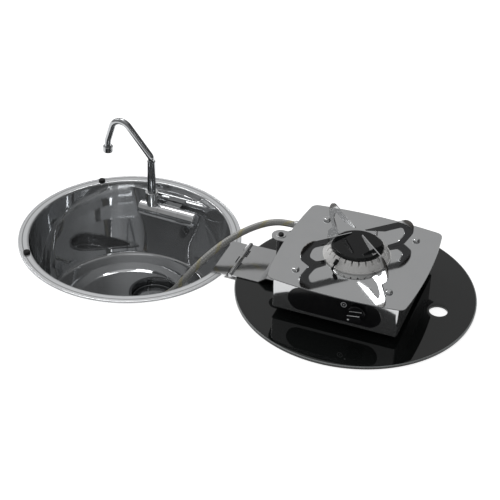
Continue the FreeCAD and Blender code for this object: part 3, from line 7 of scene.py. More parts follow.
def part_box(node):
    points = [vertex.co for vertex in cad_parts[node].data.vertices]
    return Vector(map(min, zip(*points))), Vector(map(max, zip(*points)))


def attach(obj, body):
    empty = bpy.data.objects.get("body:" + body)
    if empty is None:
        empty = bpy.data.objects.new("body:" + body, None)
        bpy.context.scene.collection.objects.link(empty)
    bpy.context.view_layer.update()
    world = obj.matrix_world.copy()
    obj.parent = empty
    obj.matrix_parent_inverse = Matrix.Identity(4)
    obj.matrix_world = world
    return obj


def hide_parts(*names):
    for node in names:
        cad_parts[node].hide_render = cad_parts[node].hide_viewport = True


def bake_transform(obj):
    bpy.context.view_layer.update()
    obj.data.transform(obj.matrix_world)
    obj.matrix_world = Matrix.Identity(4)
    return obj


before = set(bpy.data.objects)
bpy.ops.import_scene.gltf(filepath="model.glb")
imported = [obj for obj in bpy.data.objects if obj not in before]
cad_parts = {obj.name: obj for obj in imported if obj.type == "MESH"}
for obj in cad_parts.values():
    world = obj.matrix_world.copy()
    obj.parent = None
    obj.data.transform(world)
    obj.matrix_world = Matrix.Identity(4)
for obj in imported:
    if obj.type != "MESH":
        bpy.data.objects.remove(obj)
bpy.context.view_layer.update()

bl_info = {
    "name": "Hob and Sink Combo",
    "version": (1, 0, 0),
    "blender": (4, 5, 0),
    "location": "View3D > Sidebar > Galley",
    "description": "Dresses a round sink with a folding tap and a glass lid that carries a gas hob",
    "category": "Add Mesh",
}

MM = 0.001

# Middle line of the gas hose from the hob's inlet over the hinge to the gland, in metres.
HOSE_ROUTE = np.array([
    (285.4, 70.5, 58.5), (264.3, 70.5, 58.5), (244.2, 64.9, 56.0), (226.1, 54.3, 51.8), (210.5, 40.3, 47.3),
    (195.5, 23.5, 41.6), (181.9, 6.1, 34.6), (170.1, -10.3, 26.1), (158.5, -25.6, 15.8), (147.0, -39.0, 3.1),
    (135.5, -49.7, -12.3), (123.4, -56.7, -30.6), (110.0, -59.0, -48.9), (94.1, -57.8, -64.3),
    (75.5, -56.4, -76.2), (55.4, -58.5, -84.9), (35.8, -66.4, -91.1), (19.0, -79.7, -95.5), (6.6, -97.6, -98.5),
    (0.0, -118.5, -100.0), (0.0, -140.4, -100.0),
]) * MM

# Points of each surface: columns round it, rows along it, points on a strand and on a span of the route.
BOWL_COLUMNS, GLASS_COLUMNS, WORKTOP_COLUMNS, HOOP_COLUMNS = 320, 288, 192, 64
GLASS_ROWS, BEVEL_ROWS, BAR_ROWS, BAR_SECTION, HOOP_SECTION = 24, 6, 25, 16, 14
STRAND_POINTS, ROUTE_POINTS = 8, 24

# Thickness of the bowl's sheet; radii of the waste hole, the flat floor and the ring at the foot inside;
# radii of the same flat and ring outside; middle of the waste; turn of the facet from the x axis.
SHEET = 1.2 * MM
WASTE_HOLE, FLOOR_FLAT, FLOOR_RING = 44 * MM, 106 * MM, 128 * MM
BACK_FLAT, BACK_RING = 115 * MM, 150 * MM
WASTE_MIDDLE = np.array([21.0, 54.0]) * MM
FACET_TURN = np.radians(88.0)

# Spans in metres over which the bowl's polish changes: radius and height where the brushed rim begins, radii
# of the two sides of the dark line painted as shade in its groove, and y from the clear front to the hazy back.
RIM_BAND, RIM_LEVEL = (0.1822, 0.1850), (-0.001, 0.0015)
GROOVE_START, GROOVE_END = (0.1905, 0.1912), (0.1924, 0.1932)
HAZE_SPAN = (0.02, 0.12)

# Darker and paler tone of rolled sheet.
ROLLED_DARK, ROLLED_PALE = (0.56, 0.57, 0.575), (0.60, 0.605, 0.61)

# Radii of the worktop's inner rings; the first lies under the rim.
WORKTOP_RINGS = (0.1984, 0.26, 0.5, 1.0, 2.5)

# Name, place, width and height in metres and power in watts of each lamp.
LAMPS = (
    ("lamp_left", (-1.65, 0.475, 1.42), 0.15, 0.85, 3.2),
    ("lamp_over", (-0.71, 1.08, 2.05), 1.1, 0.4, 8.0),
    ("lamp_strip", (1.92, -1.22, 1.35), 0.03, 1.3, 0.7),
)

# Strength of the studio all round, the direction of its rear in x and y, and for each side the strength that
# it adds as the cosine towards it goes from a low to a high value.
STUDIO_BASE = 0.10
STUDIO_REAR = (-0.55, 0.83)
STUDIO_SIDES = {
    "rear": (0.38, 0.60, 0.95), "front": (0.18, 0.30, 0.90), "left": (0.24, 0.55, 0.95), "top": (0.24, 0.75, 0.97)}


# Sizes and colours that a user would change

def length_setting(name, description, default):
    """A length in metres."""
    return FloatProperty(name=name, description=description, default=default, unit="LENGTH")


def colour_setting(name, description, default):
    """A colour of three linear parts."""
    return FloatVectorProperty(name=name, description=description, default=default, size=3, subtype="COLOR")


class SinkSettings(bpy.types.PropertyGroup):
    """Sizes of the pressed bowl and the colour of its steel."""

    rim_radius: length_setting("Rim radius", "Outer radius of the rim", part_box("sink_bowl")[1].x)
    rim_height: length_setting("Rim height", "Top of the rim above the worktop", 0.003)
    mouth_radius: length_setting("Mouth radius", "Inside radius at the mouth of the bowl", 0.180)
    foot_radius: length_setting("Foot radius", "Outside radius at the foot of the wall", 0.1672)
    wall_lean: length_setting("Wall lean", "How far the wall leans in inside from mouth to foot", 0.0230)
    wall_bulge: length_setting("Wall bulge", "How far the wall swells between mouth and foot", 0.0028)
    depth: length_setting("Depth", "Depth of the ring at the foot of the wall", 0.149)
    floor_drop: length_setting("Floor drop", "How far the flat floor lies below the ring", 0.006)
    facet_distance: length_setting("Facet distance", "Middle of the sink to the tap's flat facet", 0.164)
    facet_ledge: length_setting("Facet ledge", "Depth of the ledge over the facet", 0.009)
    steel_colour: colour_setting("Steel colour", "Colour of the polished steel", (0.60, 0.61, 0.62))


class LidSettings(bpy.types.PropertyGroup):
    """Sizes of the glass lid and its colour."""

    glass_radius: length_setting("Glass radius", "Radius of the glass disc", 0.207)
    glass_bevel: length_setting("Glass bevel", "Ground bevel on the edge of the glass", 0.0008)
    hole_radius: length_setting("Finger hole radius", "Radius of the finger hole", 0.0155)
    hole_reach: length_setting("Finger hole reach", "Middle of the disc to the finger hole", 0.147)
    glass_colour: colour_setting("Glass colour", "Colour of the dark glass", (0.0070, 0.0080, 0.0078))


class HoseSettings(bpy.types.PropertyGroup):
    """Thickness, braid and colours of the gas hose."""

    diameter: length_setting("Diameter", "Outside diameter of the braid", 0.012)
    strands: IntProperty(
        name="Strands", description="Strands of the braid in each direction", default=10, min=4, max=24)
    pitch: length_setting("Pitch", "Length in which a strand goes round once", 0.046)
    braid_colour: colour_setting("Braid colour", "Colour of the wire strands", (0.62, 0.62, 0.60))
    tracer_colour: colour_setting("Tracer colour", "Colour of the marked strands", (0.60, 0.54, 0.30))


class ControlSettings(bpy.types.PropertyGroup):
    """Grip of the gas knob and the ring on the panel."""

    grip_turn: FloatProperty(
        name="Grip turn", description="Turn of the grip from level at rest", default=np.radians(9.0),
        subtype="ANGLE")
    grip_half_length: length_setting("Grip half length", "Half the length of the grip", 0.0116)
    grip_half_width: length_setting("Grip half width", "Half the width of the grip", 0.0055)
    grip_height: length_setting("Grip height", "How far the grip stands out", 0.017)
    mark_place: FloatVectorProperty(
        name="Mark place", description="Place of the ring on the panel", default=(0.4376, 0.0574), size=2,
        subtype="TRANSLATION")
    mark_radius: length_setting("Mark radius", "Radius of the ring on the panel", 0.0044)


class StageSettings(bpy.types.PropertyGroup):
    """Camera, worktop and light."""

    target: FloatVectorProperty(
        name="Target", description="Point that the camera looks at", default=(0.2129, 0.0459, 0.0), size=3,
        subtype="TRANSLATION")
    eye: FloatVectorProperty(
        name="Eye", description="Place of the camera", default=(0.9504, -1.9585, 1.4955), size=3,
        subtype="TRANSLATION")
    roll: FloatProperty(
        name="Roll", description="Turn of the camera about its own axis", default=0.0332, subtype="ANGLE")
    lens: FloatProperty(
        name="Lens", description="Focal length on a 36 mm frame", default=105.6, min=10.0)
    worktop_radius: length_setting("Worktop radius", "Radius of the pale worktop", 9.0)
    worktop_level: length_setting("Worktop level", "Height of the worktop", -0.0006)
    light_level: FloatProperty(
        name="Light level", description="Strength of the soft lamps", default=1.0, min=0.0)


# Shader expressions

class Value:
    """A socket in an expression: arithmetic on it adds Math nodes."""

    def __init__(self, graph, socket):
        self.graph = graph
        self.socket = socket

    def combined(self, operation, *operands):
        return self.graph.add("ShaderNodeMath", {"operation": operation}, dict(enumerate(operands)))

    def __add__(self, other):
        return self.combined("ADD", self, other)

    def __sub__(self, other):
        return self.combined("SUBTRACT", self, other)

    def __rsub__(self, other):
        return self.combined("SUBTRACT", other, self)

    def __mul__(self, other):
        return self.combined("MULTIPLY", self, other)

    def __truediv__(self, other):
        return self.combined("DIVIDE", self, other)

    def __abs__(self):
        return self.combined("ABSOLUTE", self)

    def __pow__(self, other):
        return self.combined("POWER", self, other)

    def sine(self):
        return self.combined("SINE", self)

    def least(self, other):
        return self.combined("MINIMUM", self, other)

    def most(self, other):
        return self.combined("MAXIMUM", self, other)

    def between(self, low, high):
        """Rises smoothly from 0 at low to 1 at high."""
        return self.graph.add(
            "ShaderNodeMapRange", {"interpolation_type": "SMOOTHSTEP"},
            {"Value": self, "From Min": low, "From Max": high})

    __radd__ = __add__
    __rmul__ = __mul__


class Graph:
    """A node tree, and short methods that add nodes to it."""

    def __init__(self, tree):
        self.tree = tree
        tree.nodes.clear()

    def add(self, kind, settings=None, inputs=None, output=0):
        node = self.tree.nodes.new(kind)
        for name, setting in (settings or {}).items():
            setattr(node, name, setting)
        for name, given in (inputs or {}).items():
            if isinstance(given, Value):
                self.tree.links.new(given.socket, node.inputs[name])
            elif isinstance(given, tuple) and node.inputs[name].type == "RGBA":
                node.inputs[name].default_value = (*given[:3], 1.0)
            else:
                node.inputs[name].default_value = given
        return Value(self, node.outputs[output])

    def place(self, kind="Object"):
        return self.add("ShaderNodeTexCoord", output=kind)

    def parts(self, vector):
        """The three numbers of a vector."""
        split = self.add("ShaderNodeSeparateXYZ", inputs={0: vector})
        outputs = split.socket.node.outputs
        return [Value(self, outputs[number]) for number in range(3)]

    def scaled(self, vector, factors):
        return self.add("ShaderNodeVectorMath", {"operation": "MULTIPLY"}, {0: vector, 1: factors})

    def noise(self, vector, scale, detail=2.0, rough=0.5):
        return self.add(
            "ShaderNodeTexNoise", inputs={"Vector": vector, "Scale": scale, "Detail": detail, "Roughness": rough})

    def mixed(self, factor, first, second):
        return self.add(
            "ShaderNodeMix", {"data_type": "RGBA", "clamp_factor": True}, {0: factor, 6: first, 7: second}, 2)

    def bump(self, height, strength, distance):
        return self.add(
            "ShaderNodeBump", inputs={"Strength": strength, "Distance": distance, "Height": height})

    def finish(self, **sockets):
        """The surface shader, with sockets named as in the panel and underscores for spaces."""
        inputs = {name.replace("_", " "): given for name, given in sockets.items()}
        shader = self.add("ShaderNodeBsdfPrincipled", inputs=inputs)
        self.add_output(shader)

    def add_output(self, shader):
        node = self.tree.nodes.new("ShaderNodeOutputMaterial")
        self.tree.links.new(shader.socket, node.inputs["Surface"])


def material(name):
    """A new material and its graph; the frame's own materials keep their names."""
    if name in bpy.data.materials:
        raise RuntimeError(f"the material {name} exists already")
    made = bpy.data.materials.new(name)
    made.use_nodes = True
    return made, Graph(made.node_tree)


# Finishes

def mirror_steel():
    """Mirror-polished pressing: fine swirls inside, hazier at the back, and a brushed rim with painted shade in
    one groove.
    """
    made, graph = material("mirror_steel")
    colour = tuple(bpy.context.scene.galley_sink.steel_colour)
    place = graph.place()
    x, y, z = graph.parts(place)
    reach = (x * x + y * y) ** 0.5
    rim = reach.between(*RIM_BAND) * z.between(*RIM_LEVEL)
    swirl = graph.noise(graph.scaled(place, (60.0, 60.0, 900.0)), 1.0, 3.0, 0.6)
    cloud = graph.noise(place, 14.0, 2.0)
    mirror = graph.mixed(cloud.between(0.3, 0.7), colour, tuple(0.95 * c for c in colour))
    # A thin dark line on the rim: painted shade of the groove.
    groove = reach.between(*GROOVE_START) * (1 - reach.between(*GROOVE_END)) * rim
    band = graph.mixed(groove, tuple(1.45 * c for c in colour), tuple(0.62 * c for c in colour))
    tint = graph.mixed(rim, mirror, band)
    roughness = 0.016 + 0.018 * swirl + 0.012 * cloud + 0.18 * rim
    haze = y.between(*HAZE_SPAN) * (1 - rim)
    grain = graph.noise(graph.scaled(place, (240.0, 240.0, 240.0)), 1.0, 2.0)
    graph.finish(
        Base_Color=tint, Metallic=0.95 - 0.30 * rim - 0.19 * haze, Roughness=roughness,
        Normal=graph.bump(grain * rim * 0.5 + swirl * 0.02, 0.14, 0.0004))
    return made


def waste_steel():
    """Bright steel of the waste: clear on its strainer, with painted shade round the wall of the cup."""
    made, graph = material("waste_steel")
    place = graph.place()
    low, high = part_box("drain_cup")
    x, y, _ = graph.parts(place)
    aside, ahead = x - (low.x + high.x) / 2, y - (low.y + high.y) / 2
    reach = (aside * aside + ahead * ahead) ** 0.5
    radius = (high.x - low.x) / 2
    mottle = graph.noise(place, 90.0, 2.0)
    clear, painted_cup_shade = (0.74, 0.75, 0.76), (0.21, 0.215, 0.22)
    # Dark round the wall of the cup: painted shade in the recess.
    wall = (reach + 0.002 * mottle).between(0.62 * radius, 0.74 * radius)
    tint = graph.mixed(wall, clear, painted_cup_shade)
    graph.finish(
        Base_Color=tint, Metallic=1.0, Roughness=0.06 + 0.08 * mottle, Normal=graph.bump(mottle, 0.05, 0.0006))
    return made


def bright_plate():
    """Bright steel of the screws, with faint rolling lines."""
    made, graph = material("bright_plate")
    place = graph.place()
    rolled = graph.noise(graph.scaled(place, (18.0, 900.0, 300.0)), 1.0, 2.0)
    wave = graph.noise(place, 26.0, 1.0)
    tint = graph.mixed(wave, ROLLED_DARK, ROLLED_PALE)
    graph.finish(
        Base_Color=tint, Metallic=1.0, Roughness=0.05 + 0.04 * rolled + 0.02 * wave,
        Normal=graph.bump(wave + 0.03 * rolled, 0.06, 0.0010))
    return made


def case_steel():
    """Polished sheet of the case, with the slight bloom of a protective film."""
    made, graph = material("case_steel")
    place = graph.place()
    bloom = graph.noise(place, 40.0, 2.0)
    wave = graph.noise(place, 22.0, 1.0)
    tint = graph.mixed(wave, ROLLED_DARK, ROLLED_PALE)
    graph.finish(
        Base_Color=tint, Metallic=0.90, Roughness=0.05 + 0.05 * bloom, Normal=graph.bump(wave, 0.05, 0.0010))
    return made


def support_steel():
    """Polished sheet of the pan supports, darker at the outer top corners.

    A point's nearness to its corner is told by its distance from the burner's axis plus its height.
    """
    made, graph = material("support_steel")
    place = graph.place()
    x, y, z = graph.parts(place)
    low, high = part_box("pan_support_front_left")[0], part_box("pan_support_back_right")[1]
    aside = x - (low.x + high.x) / 2
    corner = (aside * aside + y * y) ** 0.5 + z
    edge = abs(low.y) * 2 ** 0.5 + high.z
    dark_corner_start, dark_corner_full, unevenness = 0.028, 0.020, 0.004
    patchy = graph.noise(place, 120.0, 2.0)
    # Darker towards the outer top corners.
    dark_corner = (corner + unevenness * patchy).between(edge - dark_corner_start, edge - dark_corner_full)
    tint = graph.mixed(dark_corner, (0.58, 0.585, 0.59), (0.085, 0.08, 0.075))
    graph.finish(Base_Color=tint, Metallic=1.0, Roughness=0.03 + 0.03 * patchy + 0.20 * dark_corner)
    return made


def edge_shaded_plate():
    """Polished sheet of the top plate: bright on top, with painted shade along its sheared edge."""
    made, graph = material("edge_shaded_plate")
    place = graph.place()
    _, _, z = graph.parts(place)
    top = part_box("top_plate")[1].z
    face = z.between(top - 0.00025, top - 0.00005)
    rolled = graph.noise(graph.scaled(place, (18.0, 900.0, 300.0)), 1.0, 2.0)
    wave = graph.noise(place, 26.0, 1.0)
    bright = graph.mixed(wave, ROLLED_DARK, ROLLED_PALE)
    graph.finish(
        # Below the top face the colour is near black: painted shade on the plate's edge.
        Base_Color=graph.mixed(face, (0.10, 0.10, 0.102), bright), Metallic=1.0,
        Roughness=0.30 - 0.25 * face + 0.04 * rolled + 0.02 * wave,
        Normal=graph.bump(wave + 0.03 * rolled, 0.05, 0.0010))
    return made


def leaf_steel():
    """Lightly brushed sheet of the hinge, polished enough to mirror the hose."""
    made, graph = material("leaf_steel")
    place = graph.place()
    brushed = graph.noise(graph.scaled(place, (900.0, 40.0, 300.0)), 1.0, 3.0, 0.6)
    cloud = graph.noise(place, 30.0, 2.0)
    tint = graph.mixed(cloud, (0.50, 0.505, 0.51), (0.56, 0.565, 0.57))
    graph.finish(
        Base_Color=tint, Metallic=1.0, Roughness=0.09 + 0.08 * brushed,
        Normal=graph.bump(brushed, 0.05, 0.0003))
    return made


def igniter_shell():
    """Black moulded barrel under a bright metal flange."""
    made, graph = material("igniter_shell")
    place = graph.place()
    _, _, z = graph.parts(place)
    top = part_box("top_plate")[1].z
    flange = z.between(top - 0.0004, top - 0.0001)
    grain = graph.noise(place, 1200.0, 2.0)
    worn = graph.noise(place, 80.0, 2.0)
    dark = graph.mixed(worn, (0.012, 0.012, 0.013), (0.020, 0.020, 0.021))
    graph.finish(
        Base_Color=graph.mixed(flange, dark, (0.62, 0.625, 0.63)), Metallic=flange,
        Roughness=0.30 - 0.16 * flange + 0.08 * worn, Normal=graph.bump(grain, 0.06, 0.0002))
    return made


def satin_sheet():
    """Brushed steel of the burner's carrier, the hose ferrules and the thermocouple."""
    made, graph = material("satin_sheet")
    place = graph.place()
    brushed = graph.noise(graph.scaled(place, (900.0, 30.0, 300.0)), 1.0, 3.0, 0.6)
    cloud = graph.noise(place, 30.0, 2.0)
    tint = graph.mixed(cloud, (0.50, 0.505, 0.51), (0.58, 0.585, 0.59))
    graph.finish(
        Base_Color=tint, Metallic=1.0, Roughness=0.24 + 0.14 * brushed,
        Normal=graph.bump(brushed, 0.10, 0.0003))
    return made


def plated_chrome(name, clear, dull):
    """Plated brass of the tap: a trace of water marks turns the clear tone into the dull one."""
    made, graph = material(name)
    place = graph.place()
    marks = graph.noise(place, 70.0, 3.0, 0.6)
    tint = graph.mixed(marks.between(0.35, 0.7), clear, dull)
    graph.finish(Base_Color=tint, Metallic=1.0, Roughness=0.03 + 0.06 * marks.between(0.45, 0.8))
    return made


def dark_glass():
    """Black tempered glass with a faint haze of wiping, and a pale band round its top edge: partly its ground
    finish, partly a painted highlight.
    """
    made, graph = material("dark_glass")
    colour = tuple(bpy.context.scene.galley_lid.glass_colour)
    place = graph.place()
    low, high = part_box("glass_lid")
    x, y, z = graph.parts(place)
    aside = x - (low.x + high.x) / 2
    reach = (aside * aside + y * y) ** 0.5
    band_start, band_full, depth_start, depth_full = 0.0020, 0.0016, 0.0011, 0.0007
    at_edge = reach.between(high.y - band_start, high.y - band_full)
    # The pale edge band is partly the ground finish and partly a painted highlight on the bevel.
    ground = at_edge * z.between(high.z - depth_start, high.z - depth_full)
    wiped = graph.noise(graph.scaled(place, (9.0, 26.0, 9.0)), 1.0, 3.0, 0.55)
    speck = graph.noise(place, 420.0, 1.0)
    tint = graph.mixed(wiped, colour, tuple(1.5 * c for c in colour))
    graph.finish(
        Base_Color=graph.mixed(ground, tint, (0.30, 0.32, 0.32)),
        Roughness=0.015 + 0.03 * wiped.between(0.4, 0.8) + 0.015 * speck + 0.40 * ground, IOR=1.52)
    return made


def cast_aluminium():
    """Cast aluminium of the burner's crown and base, with a fine cast grain."""
    made, graph = material("cast_aluminium")
    place = graph.place()
    cast = graph.noise(place, 900.0, 2.0)
    cloud = graph.noise(place, 60.0, 2.0)
    tint = graph.mixed(cloud, (0.94, 0.935, 0.92), (0.98, 0.975, 0.965))
    graph.finish(
        Base_Color=tint, Metallic=0.06, Roughness=0.24 + 0.12 * cast,
        Normal=graph.bump(cast, 0.15, 0.0003))
    return made


def gloss_enamel():
    """Glossy vitreous enamel with a slight orange peel."""
    made, graph = material("gloss_enamel")
    place = graph.place()
    peel = graph.noise(place, 260.0, 1.0)
    haze = graph.noise(place, 40.0, 2.0)
    tint = graph.mixed(haze, (0.006, 0.0065, 0.007), (0.010, 0.0105, 0.011))
    graph.finish(
        Base_Color=tint, Roughness=0.05 + 0.05 * haze, Normal=graph.bump(peel, 0.04, 0.0006),
        Specular_IOR_Level=0.22)
    return made


def pointer_foil_and_highlight():
    """Pale foil of the knob's pointer, also laid on the grip's edges as painted highlights."""
    made, graph = material("pointer_foil_and_highlight")
    worn = graph.noise(graph.place(), 300.0, 2.0)
    tint = graph.mixed(worn, (0.78, 0.79, 0.80), (0.88, 0.89, 0.90))
    graph.finish(Base_Color=tint, Metallic=0.35, Roughness=0.22 + 0.1 * worn)
    return made


def printed_mark():
    """Pale grey printing ink, slightly uneven."""
    made, graph = material("printed_mark")
    ink = graph.noise(graph.place(), 900.0, 2.0)
    tint = graph.mixed(ink, (0.42, 0.43, 0.44), (0.52, 0.53, 0.54))
    graph.finish(Base_Color=tint, Roughness=0.36 + 0.1 * ink)
    return made


def moulded_black(name, low, high, dark, pale):
    """Black plastic or rubber with a fine moulded grain, its roughness from low to high."""
    made, graph = material(name)
    place = graph.place()
    grain = graph.noise(place, 1400.0, 2.0)
    worn = graph.noise(place, 90.0, 2.0)
    tint = graph.mixed(worn, dark, pale)
    graph.finish(
        Base_Color=tint, Roughness=low + (high - low) * worn, Normal=graph.bump(grain, 0.12, 0.0002),
        Specular_IOR_Level=0.30)
    return made


def machined_brass():
    """Machined brass, dulled a little, with turning lines."""
    made, graph = material("machined_brass")
    place = graph.place()
    turned = graph.noise(graph.scaled(place, (40.0, 40.0, 1200.0)), 1.0, 2.0)
    cloud = graph.noise(place, 80.0, 2.0)
    tint = graph.mixed(cloud, (0.52, 0.37, 0.16), (0.66, 0.50, 0.25))
    graph.finish(
        Base_Color=tint, Metallic=1.0, Roughness=0.22 + 0.16 * turned, Normal=graph.bump(turned, 0.08, 0.0003))
    return made


def wire_braid():
    """Wire braid: grey strands over a dark core, with a yellow tracer that winds round once in each pitch."""
    made, graph = material("wire_braid")
    hose = bpy.context.scene.galley_hose
    along, around, _ = graph.parts(graph.place("UV"))
    turns = along * (1.0 / hose.pitch)
    first = (turns + around) * (hose.strands * np.pi)
    second = (turns - around) * (hose.strands * np.pi)
    over = (first.sine() * second.sine()).between(-0.5, 0.5)
    gap = (abs(first.sine())).least(abs(second.sine())).between(0.0, 0.45)
    # Strands that pass under another are darker, and the tracer fades where it passes under: painted shade.
    tracer = ((turns + around) * (2.0 * np.pi)).sine().between(0.72, 0.86) * (0.35 + 0.65 * over)
    wire = graph.noise(graph.place(), 1500.0, 2.0)
    strand = graph.mixed(over, tuple(0.72 * c for c in hose.braid_colour), tuple(hose.braid_colour))
    coloured = graph.mixed(tracer, strand, tuple(hose.tracer_colour))
    tint = graph.mixed(gap, (0.10, 0.10, 0.095), coloured)
    graph.finish(
        Base_Color=tint, Metallic=0.45, Roughness=0.34 + 0.18 * wire, Normal=graph.bump(wire, 0.25, 0.0003))
    return made


def worktop_white():
    """White laminate that stays white to the eye and in reflections, and keeps a soft shadow.

    Under the knuckles of the hinge it has no glow, so that the slots between them stay dark.
    """
    made, graph = material("worktop_white")
    path = graph.add("ShaderNodeLightPath", output="Is Camera Ray")
    glossy = Value(graph, path.socket.node.outputs["Is Glossy Ray"])
    passed = Value(graph, path.socket.node.outputs["Is Transmission Ray"])
    seen = path.most(glossy).most(passed)
    place = graph.place()
    speck = graph.noise(place, 300.0, 2.0)
    tint = graph.mixed(speck, (0.80, 0.80, 0.80), (0.83, 0.83, 0.83))
    x, y, _ = graph.parts(place)
    low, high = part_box("hinge_pin")
    half_length, half_width, fade = (high.y - low.y) / 2, 0.012, 0.002
    across = abs(x - (low.x + high.x) / 2).between(half_width - fade, half_width)
    along = abs(y - (low.y + high.y) / 2).between(half_length - fade, half_length)
    shade = graph.mixed(across.most(along), (0.0, 0.0, 0.0), (1.0, 1.0, 1.0))
    lit = graph.add("ShaderNodeBsdfDiffuse", inputs={"Color": tint})
    glow = graph.add("ShaderNodeEmission", inputs={"Color": shade, "Strength": 0.80})
    both = graph.add("ShaderNodeAddShader", inputs={0: lit, 1: glow})
    graph.add_output(graph.add("ShaderNodeMixShader", inputs={0: seen, 1: lit, 2: both}))
    return made


# Surfaces

def grid_piece(name, points, uv=None, close_rows=False):
    """Mesh on a grid of points: rows run along the first axis, and each row closes on itself.

    Point (i, j) is joined to (i + 1, j) and (i, j + 1), with j counted round. With close_rows the last row
    is joined to the first. The uv grid has one more column than the points, so the seam keeps its own edge.
    """
    rows, columns = points.shape[:2]
    spans = rows if close_rows else rows - 1
    i, j = np.meshgrid(np.arange(spans), np.arange(columns), indexing="ij")
    below, beside = (i + 1) % rows, (j + 1) % columns
    faces = np.stack(
        [i * columns + j, i * columns + beside, below * columns + beside, below * columns + j], axis=-1)
    mesh = bpy.data.meshes.new(name)
    mesh.from_pydata(points.reshape(-1, 3).tolist(), [], faces.reshape(-1, 4).tolist(), shade_flat=False)
    if uv is not None:
        corners = np.stack([uv[i, j], uv[i, j + 1], uv[i + 1, j + 1], uv[i + 1, j]], axis=2)
        layer = mesh.uv_layers.new(name="UVMap")
        layer.uv.foreach_set("vector", corners.reshape(-1).astype(np.float32))
    piece = bpy.data.objects.new(name, mesh)
    bpy.context.scene.collection.objects.link(piece)
    return piece


def rounded(corners, steps=8):
    """Open profile through corners (a, b, radius): each is replaced by its tangent arc, but not the two ends."""
    spots = np.array([corner[:2] for corner in corners], float)
    found = [spots[:1]]
    for before, corner, after, radius in zip(spots, spots[1:], spots[2:], [c[2] for c in corners[1:-1]]):
        arriving = (corner - before) / np.linalg.norm(corner - before)
        leaving = (after - corner) / np.linalg.norm(after - corner)
        half = np.arccos(np.clip(arriving @ leaving, -1, 1)) / 2
        bisector = (leaving - arriving) / np.linalg.norm(leaving - arriving)
        middle = corner + bisector * radius / np.cos(half)
        turn = np.linspace(-half, half, steps)[:, None]
        across = (arriving + leaving) / np.linalg.norm(arriving + leaving)
        found.append(middle + radius * (across * np.sin(turn) - bisector * np.cos(turn)))
    found.append(spots[-1:])
    return np.concatenate(found)


def divided(profile, step):
    """The same line with extra points, so that no two neighbours are more than a step apart."""
    lengths = np.r_[0.0, np.cumsum(np.linalg.norm(np.diff(profile, axis=0), axis=1))]
    regular = np.linspace(0.0, lengths[-1], int(lengths[-1] / step) + 1)
    stops = np.unique(np.round(np.r_[lengths, regular], 9))
    stops = stops[np.r_[True, np.diff(stops) > step / 200]]
    return np.stack([np.interp(stops, lengths, profile[:, axis]) for axis in (0, 1)], axis=1)


def round_angles(count):
    """Angles round a full turn, as cosines and sines."""
    angle = np.linspace(0.0, 2.0 * np.pi, count, endpoint=False)
    return np.cos(angle), np.sin(angle)


